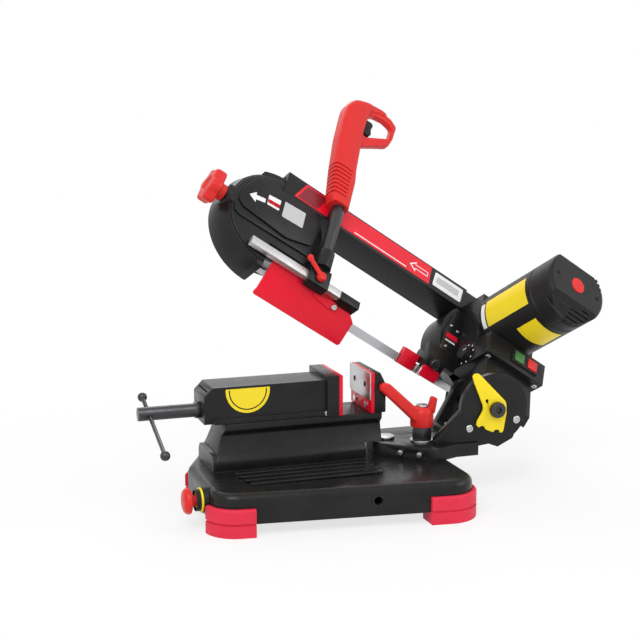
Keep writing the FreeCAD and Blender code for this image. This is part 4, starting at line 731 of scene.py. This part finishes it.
class SAW_OT_base(bpy.types.Operator):
    """Rounds the base casting and models its ribs, grooved feet, emergency stop and cord gland"""
    bl_idname = "saw.base"
    bl_label = "Base, feet and emergency stop"

    def execute(self, context):
        soften("base_casting", casting_edge() * 1.2, 4)
        self.ribs()
        self.side_bore()
        self.feet()
        self.emergency_stop()
        soften("cord_gland", 1.0)
        paint("estop_contact_block")
        return {"FINISHED"}

    def ribs(self):
        ribs = []
        for index, middle in enumerate((-20.0, -38.0, -56.0, -74.0)):
            left = -148.0 + index * 3.0
            points = [(left, middle - 5), (58, middle - 7), (58, middle + 5), (left, middle + 5)]
            ribs.append(plate("rib", rounded(points, 5.0), 42.0, 46.0, 1.6))
        piece = join(*ribs, name="base_ribs")
        finish_piece(piece, "base", "black_casting")

    def side_bore(self):
        """A dark disc of painted shade at the end of the bore in the near side, and the cast ring round it.
        """
        near, right = Vector(BASE_CORNERS[0]), Vector(BASE_CORNERS[1])
        run = right - near
        outward = (run.y / run.length, -run.x / run.length, 0)
        place = 27.0
        mouth = facing(STANDING, (place, near.y + run.y * (place - near.x) / run.x, 22.0), outward)
        # A near-black disc deep in the bore is painted shade.
        end = disc("side_bore_shade_disc", (0, 0), 6.4, -21.5, -20.0, 0.2, 32)
        finish_piece(set_in(end, mouth), "base", "black_casting", finish="hole_shade_and_dark_print")
        ring = spun("side_bore_ring", [(7.4, -0.5), (9.6, -0.5), (9.2, 0.9), (7.8, 0.9)], 40)
        finish_piece(set_in(ring, mouth), "base", "black_casting")

    def feet(self):
        feet = merged_copy("base_feet")
        round_edges(feet, 1.6, 3)
        ring = block("groove", (-240, -200, 0.6), (240, 180, 3.4))
        carve(ring, plate("core", base_outline(5.2), 0.0, 4.0))
        carve(feet, ring)
        finish_piece(feet, "base", "red_rubber", ("base_feet",))

    def emergency_stop(self):
        soften("estop_ring", 0.8)
        place = facing(STANDING, (-206, -60, 24), (-1, 0, 0))
        mushroom = [(0, 4), (7.6, 4), (7.6, 15.3), (11, 15.4), (15.2, 15.6), (17.6, 16.6), (18.5, 18.4),
                    (18.4, 20.8), (17.2, 23.4), (14.8, 25.6), (11.2, 26.8), (7, 27.2), (0, 27.2)]
        tube = [(14.05, 3.05), (15.2, 3.05), (15.2, 9.2), (14.6, 9.9), (14.05, 9.9)]
        sleeve = spun("estop_sleeve", tube, 48)
        finish_piece(set_in(sleeve, place), "base", "black_plastic")
        button = spun("estop_mushroom", mushroom, 48)
        finish_piece(set_in(button, place), "estop_button", "red_plastic", ("estop_button",), angle=40)


class SAW_OT_vise(bpy.types.Operator):
    """Models the vise bed and the plate of its slide, and rounds its other pieces"""
    bl_idname = "saw.vise"
    bl_label = "Vise"

    def execute(self, context):
        edge = casting_edge()
        self.bed()
        soften("fixed_jaw", edge * 0.8)
        soften("vise_slide", edge * 1.5, 4)
        for node in ("fixed_jaw_plate", "moving_jaw_plate"):
            soften(node, 1.0)
        soften("fixed_jaw_face", 0.4)
        soften("vise_screw", machined_edge())
        soften("tommy_bar", 0.2)
        for node in ("fixed_jaw_screws", "bed_bolts", "vise_nut"):
            paint(node)
        self.round_plate()
        self.face_holes()
        screws("slide_screw", "vise_slide", 4.2, 3.0, [at(FRONTAL, 1, 115.3, -4.2)])
        return {"FINISHED"}

    def bed(self):
        """The rails on their flared foot, both with a leaning left end."""
        middle = 41.0
        upper = [(-38, 111), (-38, 101), (-34, 97.5), (-30.5, 93), (-35, 75), (-40, 66.5)]
        lower = [(-39, 68), (-44, 60.5), (-45.5, 58), (-45.5, 46), (-44, 42)]
        lengthwise = axes_matrix(BACK, Vector((0, 0, 1)), Vector((1, 0, 0)), Vector())
        end, outward = Vector((-152, 0, 111)) * MM, Vector((-64, 0, 22)).normalized()
        forms = [("vise_bed_rails", upper, 88.0, ("vise_bed",)), ("vise_bed_foot", lower, 60.0, ())]
        for name, side, right, nodes in forms:
            points = [(middle + across, high) for across, high in side]
            points += [(middle - across, high) for across, high in reversed(side)]
            piece = plate(name, points, -190.0, right)
            set_in(piece, lengthwise)
            cut_plane(piece, end, outward)
            round_edges(piece, 1.6, 3)
            finish_piece(piece, "base", "black_casting", nodes)

    def round_plate(self):
        middle = (-118.0, 157.5)
        face = plate("slide_plate", ring_points(middle, 33, 44, 174, 366), -10.4, -9.5)
        ring = plate("slide_plate_ring", ring_points(middle, 28.5, 40, 176, 364)
                     + ring_points(middle, 26.9, 40, 364, 176), -10.0, -9.3)
        for piece, finish in ((face, "yellow_print"), (ring, "hole_shade_and_dark_print")):
            finish_piece(set_in(piece, FRONTAL), "vise_slide", "black_casting", finish=finish)

    def face_holes(self):
        """Two dark discs of painted shade for the screw holes in the steel face of the fixed jaw."""
        low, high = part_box("fixed_jaw_face")
        level = (low[2] + high[2]) / 2
        holes = []
        for share in (0.25, 0.75):
            across = low[1] + (high[1] - low[1]) * share
            spot = facing(STANDING, (low[0] / MM, across / MM, level / MM), (-1, 0, 0))
            holes.append(set_in(disc("face_hole", (0, 0), 4.2, -0.6, 0.2, 0, 28), spot))
        holes = join(*holes, name="fixed_jaw_hole_shade")
        finish_piece(holes, "base", "dark_steel", finish="hole_shade_and_dark_print")


class SAW_OT_swivel(bpy.types.Operator):
    """Rounds the swivel plate and hinge and models the clamp lever, spring lever and return spring"""
    bl_idname = "saw.swivel"
    bl_label = "Swivel and hinge"

    def execute(self, context):
        soften("swivel_plate", 1.2)
        soften("hinge_bracket", casting_edge())
        for node in ("swivel_screws", "swivel_pin", "clamp_stud"):
            soften(node, machined_edge())
        soften("hinge_pin", 1.0)
        self.clamp_lever()
        self.spring_lever()
        self.return_spring()
        spots = [at(FRONTAL, *spot, 37.8) for spot in ((212.5, 84.3), (290.5, 92.0))]
        screws("cheek_screws", "swivel", 5.8, 2.0, spots)
        return {"FINISHED"}

    def clamp_lever(self):
        """The lever with its cone, arm and horn, over a dark nut and a bright washer."""
        stud = at(STANDING, *STUD, 0)
        cone = spun("cone", [(9.4, 86.6), (17, 86.6), (18, 89), (17.2, 108), (15.4, 113.4), (12, 115.6),
                             (9.4, 115.8)], 56)
        set_in(cone, stud)
        arm = [(152, 92, 6), (133, 95, 8), (78, 148, 4), (79, 156, 5), (86, 158.5, 6), (94, 156, 6),
               (134, 119, 10), (158, 114, 4)]
        horn = [(159.6, 106, 2), (168, 104, 3), (172.5, 128, 3), (164, 131, 3), (159.2, 116, 6)]
        bars = [plate("arm", rounded(arm, 5), 4.8, 17.4, 4.6, 5),
                plate("horn", rounded(horn, 3), 0.4, 11.2, 2.2, 4)]
        carve(bars[0], set_in(disc("stud_room", (0, 0), 9.5, 60, 140), FRONTAL.inverted() @ stud))
        for bar in bars:
            set_in(bar, FRONTAL)
        lever = join(cone, *bars, name="clamp_lever")
        finish_piece(lever, "swivel_lever", "red_plastic", ("swivel_lever",), angle=45)
        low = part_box("swivel_plate")[1][2] / MM + 0.3
        nut = plate("clamp_nut", ring_points((0, 0), 16, 6, 12, 372), low + 3.3, 86.4)
        carve(nut, disc("nut_bore", (0, 0), 6.6, 50, 95))
        round_edges(nut, 1.0)
        profile = [(6.6, low), (17.6, low), (17.6, low + 2.5), (16.9, low + 3.2), (6.6, low + 3.2)]
        washer = spun("clamp_washer", profile, 48)
        for piece, finish in ((nut, "dark_steel"), (washer, "bright_steel")):
            finish_piece(set_in(piece, stud), "swivel_lever", "red_plastic", finish=finish)

    def spring_lever(self):
        points = [(213, 168, 5), (224, 169, 6), (270.5, 122, 12), (271.5, 105, 14), (266.5, 76, 4),
                  (261.5, 74.5, 2), (259, 80, 3), (252.5, 80, 3), (249.5, 76.5, 2), (237, 82, 4),
                  (234, 87.5, 3), (228.5, 88, 3), (226, 85.5, 2), (221.5, 90, 3), (222.5, 96, 5),
                  (234, 114, 14), (217.5, 153, 14)]
        lever = plate("spring_lever_plate", rounded(points, 5), 40, 43, 0.7)
        slot = rounded([(236.5, 126), (240.5, 125), (245.5, 111), (242.5, 110)], 1.4)
        tools = [
            disc("pin_hole", HINGE, 10.1, 36, 46),
            disc("hook", (238.5, 126), 2.8, 36, 46, count=20),
            plate("hook_slot", slot, 36, 46),
        ]
        carve(lever, *tools)
        boss = spun("boss", [(10.1, 38.4), (15.8, 38.4), (15.8, 40.5), (10.1, 40.5)], 40)
        set_in(boss, at(STANDING, *HINGE, 0))
        lever = join(lever, boss)
        finish_piece(set_in(lever, FRONTAL), "spring_lever", "yellow_plastic", ("spring_lever",))

    def return_spring(self):
        low = 24.4
        pick_none()
        bpy.ops.mesh.primitive_circle_add(vertices=10, radius=1.5 * MM, location=(15.2 * MM, 0, 0),
                                          rotation=(math.pi / 2, 0, 0), fill_type="NOTHING")
        coil = bpy.context.object
        coil.name = "return_spring_coil"
        bpy.ops.object.transform_apply(location=True, rotation=True)
        winding = coil.modifiers.new("winding", "SCREW")
        winding.angle = 2 * math.pi
        winding.screw_offset = 3.25 * MM
        winding.iterations = 4
        winding.steps = 28
        winding.render_steps = 28
        bpy.ops.object.modifier_apply(modifier=winding.name)
        edit_all(coil)
        bpy.ops.mesh.fill_holes(sides=10)
        bpy.ops.mesh.select_all(action="SELECT")
        bpy.ops.mesh.normals_make_consistent(inside=False)
        edit_done()
        set_in(coil, facing(STANDING, (HINGE[0], -low + 1.2, HINGE[1]), (0, 1, 0)))
        finish_piece(coil, "swivel", "dark_steel", ("return_spring",), angle=50)


# Bow
class SAW_OT_bow(bpy.types.Operator):
    """Rounds the bow casting and adds the steps, boss and plates of its wheel housing and arm"""
    bl_idname = "saw.bow"
    bl_label = "Bow and wheel housing"

    def execute(self, context):
        middle = (HOUSING_U, WHEEL_V)
        bow = merged_copy("bow_casting")
        slope = spun("slope", [(81.5, 27), (93, 27), (93, 4), (88.6, 4)], 72, 118, 146)
        carve(bow, set_in(slope, at(LEANING, *middle, 0)))
        round_edges(bow, casting_edge() * 0.9, 4)
        finish_piece(bow, "head", "black_casting", ("bow_casting",))
        soften("wheel_cover", 1.2, 3)
        step = disc("housing_step", middle, 79.5, 25.0, 28.4, 1.6, 96)
        carve(step, block("throat", (-391.5, -40, 20), (-270, 33.5, 40)))
        ledge = rounded([(-452, 47, 6), *ring_points(middle, 75.0, 22, 200, 98), (-404, 135.5),
                         (-326, 135.5, 8), (-316, 112, 10), (-320, 49, 6)], 0.5)
        low_pad = plate("housing_ledge", ledge, 27.5, 31.2, 1.0)
        pad = rounded([(-452, 63, 5), *ring_points(middle, 70.5, 22, 184, 98), (-406, 132.5),
                       (-332, 132.5, 10), (-318, 112, 14), (-326, 68, 10), (-370, 55, 30)], 0.5)
        high_pad = plate("housing_pad", pad, 30.5, 34.6, 1.0)
        boss = block("tension_boss", (-481.6, 62.5, 3.0), (-452, 91, 30.5), 2.4)
        cover = rounded([(-40, 118), (-54, 74), (-53, 40), (-38, 22), (-22, 22), (-22, 118)], 4)
        cover = plate("drive_cover", cover, 25.5, 32.0, 1.4)
        for piece in (step, low_pad, high_pad, boss, cover):
            finish_piece(set_in(piece, LEANING), "head", "black_casting")
        spots = [at(LEANING, *spot, 31.9) for spot in ((-47, 46), (-33, 32), (-29, 86), (-43, 90))]
        screws("drive_cover_screws", "head", 2.6, 1.8, spots)
        self.plates()
        return {"FINISHED"}

    def plates(self):
        """Blank plates and arrows: name, finish, corner radius, level and outline of each."""
        arrow = [(-145, 158.5), (-132, 168.5), (-132, 163), (-106, 163), (-106, 154), (-132, 154),
                 (-132, 148.5)]
        inner = [(-141, 158.5), (-133.5, 164.4), (-133.5, 161.4), (-107.6, 161.4), (-107.6, 155.6),
                 (-133.5, 155.6), (-133.5, 152.6)]
        flat = [
            ("arm_stripe", "red_print", 1.5, 30.5, [(-376, 142), (-360, 177.5), (-101, 177.5), (-101, 142)]),
            ("arm_stripe_shade", "dark_red_print", 1, 30.7,
             [(-370, 144), (-357, 175), (-318, 175), (-332, 144)]),
            ("arm_pinstripe", "white_print", 0.6, 30.7,
             [(-258, 146), (-257, 148), (-150, 148), (-150, 146)]),
            ("arm_arrow", "white_print", 0, 30.7, arrow),
            ("arm_arrow_inside", "red_print", 0, 30.9, inner),
            ("arm_plate", "white_print", 2.5, 30.7, [(-94, 146), (-92, 174), (-32, 174), (-34, 146)]),
            ("arm_plate_band", "grey_print", 1.5, 30.9, [(-88, 154), (-87, 167), (-40, 167), (-41, 154)]),
            ("drive_plate", "red_print", 1, 32.4, [(-50, 64), (-49, 74), (-27, 74), (-27, 64)]),
            ("drive_plate_band", "white_print", 0, 32.4, [(-50, 57), (-50, 60), (-30, 60), (-30, 57)]),
            ("arrow_print", "white_print", 0, 34.9,
             [(-449, 89), (-436, 81.5), (-436.6, 87), (-420.5, 91), (-421.5, 98.5), (-438, 95),
              (-438.6, 100.5)]),
            ("housing_plate", "white_print", 1.5, 34.9,
             [(-417, 91), (-395, 92.5), (-396, 113), (-418, 110)]),
            ("housing_plate_band", "red_print", 0, 35.0,
             [(-417, 95), (-395.2, 96.5), (-395.6, 104), (-417.4, 102)]),
            ("rating_plate", "grey_print", 1.5, 34.9,
             [(-388, 86.5), (-349, 88.5), (-350, 119), (-389, 116.5)]),
        ]
        for name, finish, radius, high, points in flat:
            outline = rounded(points, radius) if radius else points
            piece = plate(name, outline, math.floor(high), high)
            finish_piece(set_in(piece, LEANING), "head", "black_plastic", finish=finish)


class SAW_OT_wheels(bpy.types.Operator):
    """Finishes the wheels, carriage, gears and band, and cuts the teeth of the blade"""
    bl_idname = "saw.wheels"
    bl_label = "Wheels and blade"

    def execute(self, context):
        for node in ("drive_wheel", "idler_wheel", "idler_carriage", "drive_gear", "mid_gear", "motor_rotor",
                     "motor_stator", "blade"):
            paint(node)
        pitch = shapes().tooth_pitch / MM
        left, length = -272.0, 214.0
        back, root, tip = -5.0, -6.3, -7.9
        count = int(length / pitch)
        points = [(left, back), (left + count * pitch, back)]
        for index in range(count, 0, -1):
            points.append((left + index * pitch, root))
            points.append((left + (index - 0.25) * pitch, tip))
        points.append((left, root))
        teeth = plate("blade_teeth", points, -0.33, 0.33)
        finish_piece(set_in(teeth, SIDEWAYS), "head", "blade_steel")
        return {"FINISHED"}


class SAW_OT_tension(bpy.types.Operator):
    """Models the lobed tension knob with its neck"""
    bl_idname = "saw.tension"
    bl_label = "Tension knob"

    def execute(self, context):
        lobes = shapes().knob_lobes
        mean, wave, steps = 26.6, 2.4, 96
        points = []
        for index in range(steps):
            turn = 2 * math.pi * index / steps
            radius = mean + wave * math.cos(lobes * turn)
            points.append((radius * math.cos(turn), radius * math.sin(turn)))
        head = plate("tension_knob_head", points, 0.4, 18.8, 4.2, 5)
        neck = spun("neck", [(4.4, -11.3), (12.4, -11.3), (13, -10.6), (13, -4), (14, -0.6), (16.5, 1.6),
                             (4.4, 1.6)], 40)
        dish = spun("dish", [(0, 16.2), (9, 16.2), (12, 17.4), (14, 20), (0, 20)], 40)
        carve(head, dish)
        head = join(head, neck)
        set_in(head, facing(LEANING, (-493.8, WHEEL_V, 17), (-1, 0, 0)))
        finish_piece(head, "tension_knob", "red_plastic", ("tension_knob",), angle=45)
        return {"FINISHED"}


# Gear case, motor and switches
MOTOR = at(LEANING, DRIVE_U, MOTOR_V, 80)


class SAW_OT_motor(bpy.types.Operator):
    """Models the motor housing, its chamfered end with vents, badge and blank plates"""
    bl_idname = "saw.motor"
    bl_label = "Motor"

    def execute(self, context):
        edge = MOTOR_RADIUS
        profile = [(0, 0), (55.6, 0), (edge, 1.4), (edge, 117), (56, 118), (56, 120.5), (edge, 121.5),
                   (edge, 156), (0, 156)]
        shell = spun("motor_shell", profile, 96)
        cap = spun("motor_cap", [(0, 156), (edge, 156), (edge, 159), (55.2, 162.6), (51.5, 164.6), (48, 165),
                                 (13.4, 165), (13.4, 164), (0, 164)], 96)
        for side, height in ((-1, 31.0), (1, 36.0)):
            normal = Vector((0, side * 0.66, 0.75)).normalized()
            for piece in (shell, cap):
                cut_plane(piece, Vector((0, side * height, 165)) * MM, normal)
        round_edges(cap, 2.6, 3, 20)
        self.vents(shell, cap)
        for piece, node in ((shell, "motor_housing"), (cap, "motor_end_cap")):
            finish_piece(set_in(piece, MOTOR), "head", "black_plastic", (node,))
        # Dark discs on the cap are painted shade for its two holes.
        holes = [disc("cap_hole", (side * 41, 0), 3.4, 164.2, 165.2, 0, 24) for side in (-1, 1)]
        holes = join(*holes, name="motor_cap_hole_shade")
        finish_piece(set_in(holes, MOTOR), "head", "black_plastic", finish="hole_shade_and_dark_print")
        badge = spun("motor_badge_disc", [(0, 164), (12.8, 164), (12.8, 165.4), (12.2, 166), (0, 166)], 40)
        finish_piece(set_in(badge, MOTOR), "head", "red_plastic", ("motor_badge",))
        self.plates()
        return {"FINISHED"}

    def vents(self, shell, cap):
        slots = []
        for index in range(6):
            low = 136.0 + index * 4.6
            profile = [(40, low), (62, low), (62, low + 2.2), (40, low + 2.2)]
            slots.append(spun("slot", profile, 10, 268, 44))
        tool = join(*slots)
        spare = copy_of(tool, STANDING)
        carve(shell, tool)
        carve(cap, spare)
        angles = [22 + index * 8.5 for index in range(6)]
        carve(cap, *turned_blocks("notch", (46, -1.6, 158), (62, 1.6, 170), angles))

    def plates(self):
        pads = [
            ("motor_plate_side", "yellow_print", 171, 47, 17, 108),
            ("motor_plate_front", "yellow_print", 243, 58, 64, 106),
            ("motor_plate_edge", "white_print", 174, 44, 6, 14),
        ]
        inside, outside = MOTOR_RADIUS - 0.4, MOTOR_RADIUS + 0.4
        for name, finish, start, span, low, high in pads:
            profile = [(inside, low), (outside, low), (outside, high), (inside, high)]
            piece = spun(name, profile, 24, start, span)
            finish_piece(set_in(piece, MOTOR), "head", "black_plastic", finish=finish)
        profile = [(50, 123), (60, 123), (61, 124), (61, 147), (60, 148), (50, 148)]
        brush = spun("brush_cover", profile, 16, 226, 38)
        round_edges(brush, 1.2, 2, 60)
        finish_piece(set_in(brush, MOTOR), "head", "black_plastic")


class SAW_OT_controls(bpy.types.Operator):
    """Rounds the gear case and models the switch panel, push buttons, speed dial and screws"""
    bl_idname = "saw.controls"
    bl_label = "Gear case and controls"

    def execute(self, context):
        soften("gear_case", casting_edge() * 1.3, 3)
        soften("switch_panel", 1.4, 3)
        bezel = block("switch_bezel", (23, 19, 115), (76, 43, 119), 1.2)
        for _, place, _ in BUTTONS:
            carve(bezel, block("opening", (place - 10, 21.5, 110), (place + 10, 40.5, 125)))
        finish_piece(set_in(bezel, LEANING), "head", "black_plastic")
        for name, place, slot in BUTTONS:
            cap = block(name + "_cap", (place - 9.4, 22.2, 119.2), (place + 9.4, 39.8, 121.0), 0.8)
            stem = disc("stem", (place, 31), 8.6, 108, 119.6, 0.3, 32)
            cap = join(cap, stem)
            finish_piece(set_in(cap, LEANING), name, slot, (name,))
        self.dial()
        spots = [facing(LEANING, (place, 10.2, 106), (0, -1, 0)) for place in (-15, 83)]
        screws("case_screws", "head", 4.4, 2.6, spots)
        return {"FINISHED"}

    def dial(self):
        profile = [(0, 0.4), (12.6, 0.4), (13, 1.2), (12.2, 9.2), (11.2, 10), (0, 10)]
        dial = spun("speed_dial_cap", profile, 48)
        angles = [index * 22.5 for index in range(16)]
        carve(dial, *turned_blocks("flute", (11.8, -0.9, 2.5), (15, 0.9, 12), angles))
        place = facing(LEANING, (-24, 30, 60), (-1, 0, 0))
        finish_piece(set_in(dial, place), "speed_dial", "black_plastic", ("speed_dial",))
        pointer = block("speed_dial_pointer", (-0.7, 4, 9.8), (0.7, 10.5, 10.3))
        finish_piece(set_in(pointer, place), "speed_dial", "black_plastic", finish="white_print")
        spots = ring_points((0, 0), 16.8, 7, -30, 210)
        dots = [disc("dot", spot, 1.5, -0.2, 0.25, 0, 16) for spot in spots]
        marks = join(*dots, name="speed_marks")
        finish_piece(set_in(marks, place), "head", "black_plastic", finish="white_print")


# Handle and guides
class SAW_OT_handle(bpy.types.Operator):
    """Models the loop handle with its grooves and trigger, and rounds its tube and bracket"""
    bl_idname = "saw.handle"
    bl_label = "Handle"

    def execute(self, context):
        soften("handle_bracket", 1.6, 3)
        soften("handle_tube", 0.5)
        stem_points = [(-315, 136, 4), (-289.2, 136, 4), (-289.7, 214, 60), (-294.2, 244, 60),
                       (-298, 300, 30), (-300, 322, 20), (-299, 366, 20), (-289, 398, 12), (-306, 395.6, 60),
                       (-332.6, 383.6, 26), (-344.6, 361, 40), (-342.6, 290, 80), (-335.7, 226, 80),
                       (-327.7, 173, 50)]
        stem = smooth_skin(plate("grip", rounded(stem_points, 6, 8), 30.4, 59.6, 13.2, 7), 1.5, 110)
        loop_points = [(-318, 296, 6), (-297, 300, 8), (-288, 307.5, 14), (-260, 328.6, 12),
                       (-247, 337.6, 10), (-242, 358, 14), (-240.4, 388.6, 8), (-254, 397.6, 12),
                       (-276, 400.6, 20), (-318, 392, 8)]
        loop = plate("loop", rounded(loop_points, 6), 38.5, 51.5)
        hole_points = [(-299, 320.4, 5), (-249.8, 354.2, 6), (-249.2, 381.6, 6), (-266, 385.6, 14),
                       (-286, 381.2, 14), (-297, 370.6, 10)]
        hole = plate("hole", rounded(hole_points, 6), 20, 70)
        neck_points = [(-322, 372), (-300, 380), (-284, 387), (-268, 391), (-264, 398), (-276, 400.4),
                       (-306, 395.6), (-326, 386)]
        neck = plate("neck", rounded(neck_points, 3), 34.5, 55.5, 7.0, 5)
        carve(loop, copy_of(hole, STANDING))
        round_edges(loop, 4.0, 4, 50)
        carve(stem, hole)
        combine(stem, loop, "UNION")
        combine(stem, neck, "UNION")
        smooth_skin(stem, 1.25, 12)
        cut_plane(stem, Vector((0, 157.2, 0)) * MM, (0, -1, 0))
        self.grooves(stem)
        carve(stem, block("pocket", (-316, 330.4, 38.4), (-282, 362.6, 51.6)))
        far = copy_of(stem, STANDING)
        stem.name = "grip_near_shell"
        far.name = "grip_far_shell"
        seam = 0.12
        cut_plane(stem, Vector((0, 0, GRIP_MIDDLE + seam)) * MM, (0, 0, -1))
        cut_plane(far, Vector((0, 0, GRIP_MIDDLE - seam)) * MM, (0, 0, 1))
        for piece, node in ((stem, "grip_half_near"), (far, "grip_half_far")):
            finish_piece(set_in(piece, LEANING), "head", "red_plastic", (node,), angle=50)
        finger = [(-308.5, 331.4), (-287, 331.4, 2), (-284.2, 337, 3), (-286.5, 347, 8), (-284.4, 358, 3),
                  (-288, 361.6, 2), (-308.5, 361.6)]
        trigger = plate("trigger_blade", rounded(finger, 0.8), 39.2, 50.8, 1.2)
        finish_piece(set_in(trigger, LEANING), "trigger", "black_trigger", ("trigger",))
        return {"FINISHED"}

    def grooves(self, stem):
        count = shapes().grip_grooves
        if not count:
            return
        cuts = []
        for index in range(count):
            low = 172.0 + index * 8.0
            cuts.append(block("cut", (-360, low, 20), (-303, low + 2.8, 70)))
        middle = Matrix.Translation(Vector((-308, 0, GRIP_MIDDLE)) * MM)
        inner = copy_of(stem, middle @ Matrix.Diagonal((0.87, 1.0, 0.85, 1.0)) @ middle.inverted())
        carve(stem, carve(join(*cuts), inner))


class SAW_OT_guides(bpy.types.Operator):
    """Rounds the blade guides and models the painted guards, the lock lever and the rear knob"""
    bl_idname = "saw.guides"
    bl_label = "Blade guides"

    def execute(self, context):
        for node in ("guide_clamp", "rear_guide_holder", "front_guide_block"):
            soften(node, 1.2, 3)
        soften("guide_bar", 0.9, 3)
        self.lock_lever()
        soften("rear_guide_guard", 1.0)
        for node in ("front_rollers", "rear_rollers"):
            soften(node, 0.5)
        self.guard()
        self.rear()
        return {"FINISHED"}

    def lock_lever(self):
        """A round hub with a slim arm that ends in a small ball, over its screw."""
        hub = spun("hub", [(0, 42.4), (2.4, 42.4), (2.4, 47.4), (6.2, 47.4), (7.4, 48.6), (7.2, 53.6),
                           (6, 55.6), (3.4, 56.2), (0, 56.2)], 36)
        set_in(hub, at(LEANING, *LOCK_HUB, 0))
        way = Vector((-0.8, 0.6, 0))
        arm = spun("arm", [(0, 3), (4.4, 3), (3.6, 12), (3.5, 28), (4.4, 31), (5.2, 34), (4.4, 37),
                           (2.4, 38.6), (0, 39)], 28)
        set_in(arm, facing(LEANING, (*LOCK_HUB, 51.8), way))
        lever = join(hub, arm, name="lock_lever")
        finish_piece(lever, "guide_lock_lever", "red_plastic", ("guide_lock_lever",), angle=45)

    def guard(self):
        points = [(-376, 24, 3), (-236, 26, 4), (-212, 7, 4), (-213, -32, 3), (-216, -35, 2), (-379, -35, 4),
                  (-376, -24, 6)]
        guard = plate("blade_guard_plate", rounded(points, 5), 12.4, 14.4, 0.7)
        tab = rounded([(-294, 10, 5), (-294, 18, 4), (-252, 20, 6), (-244, 8, 6), (-262, 5, 8)], 5)
        tab = plate("tab", tab, 14.0, 17.0, 1.4)
        guard = join(guard, tab)
        finish_piece(set_in(guard, SIDEWAYS), "front_guide", "red_paint", ("blade_guard",))
        screws("guard_screw", "front_guide", 4.6, 2.6, [at(SIDEWAYS, -254, 12, 16.8)])

    def rear(self):
        face = rounded([(-79, -7, 3), (-79, 12, 3), (-46, 12, 4), (-46, -7, 4)], 3)
        face = plate("rear_guide_face", face, 28.0, 31.0, 1.2)
        finish_piece(set_in(face, SIDEWAYS), "head", "red_paint")
        profile = [(0, 0), (5.5, 0), (5.5, 3), (8, 4), (8, 12.8), (7, 14), (0, 14)]
        knob = spun("rear_guide_grip", profile, 40)
        angles = [index * 36.0 for index in range(10)]
        carve(knob, *turned_blocks("flute", (7.2, -0.7, 4.5), (10, 0.7, 16), angles))
        set_in(knob, facing(SIDEWAYS, (-66, 19.75, 28), (0, 0, 1)))
        finish_piece(knob, "head", "bright_steel", ("rear_guide_knob",), finish="dark_steel")


OPERATORS = (SAW_OT_stage, SAW_OT_base, SAW_OT_vise, SAW_OT_swivel, SAW_OT_bow, SAW_OT_wheels,
             SAW_OT_tension, SAW_OT_motor, SAW_OT_controls, SAW_OT_handle, SAW_OT_guides)
SETTINGS = (("saw_colours", SawColours), ("saw_shapes", SawShapes), ("saw_stage", SawStage))


class SAW_PT_panel(bpy.types.Panel):
    """Lists the settings and the operators of the saw"""
    bl_idname = "SAW_PT_panel"
    bl_label = "Band saw"
    bl_space_type = "VIEW_3D"
    bl_region_type = "UI"
    bl_category = "Band saw"

    def draw(self, context):
        for name, group in SETTINGS:
            box = self.layout.box()
            for setting in group.__annotations__:
                box.prop(getattr(context.scene, name), setting)
        for operator in OPERATORS:
            self.layout.operator(operator.bl_idname)


def register():
    for name, group in SETTINGS:
        bpy.utils.register_class(group)
        setattr(bpy.types.Scene, name, PointerProperty(type=group))
    for operator in OPERATORS:
        bpy.utils.register_class(operator)
    bpy.utils.register_class(SAW_PT_panel)


def unregister():
    bpy.utils.unregister_class(SAW_PT_panel)
    for operator in reversed(OPERATORS):
        bpy.utils.unregister_class(operator)
    for name, group in SETTINGS:
        delattr(bpy.types.Scene, name)
        bpy.utils.unregister_class(group)


def main():
    register()
    bpy.ops.saw.stage()
    bpy.ops.saw.base()
    bpy.ops.saw.vise()
    bpy.ops.saw.swivel()
    bpy.ops.saw.bow()
    bpy.ops.saw.wheels()
    bpy.ops.saw.tension()
    bpy.ops.saw.motor()
    bpy.ops.saw.controls()
    bpy.ops.saw.handle()
    bpy.ops.saw.guides()


if __name__ == "__main__":
    main()
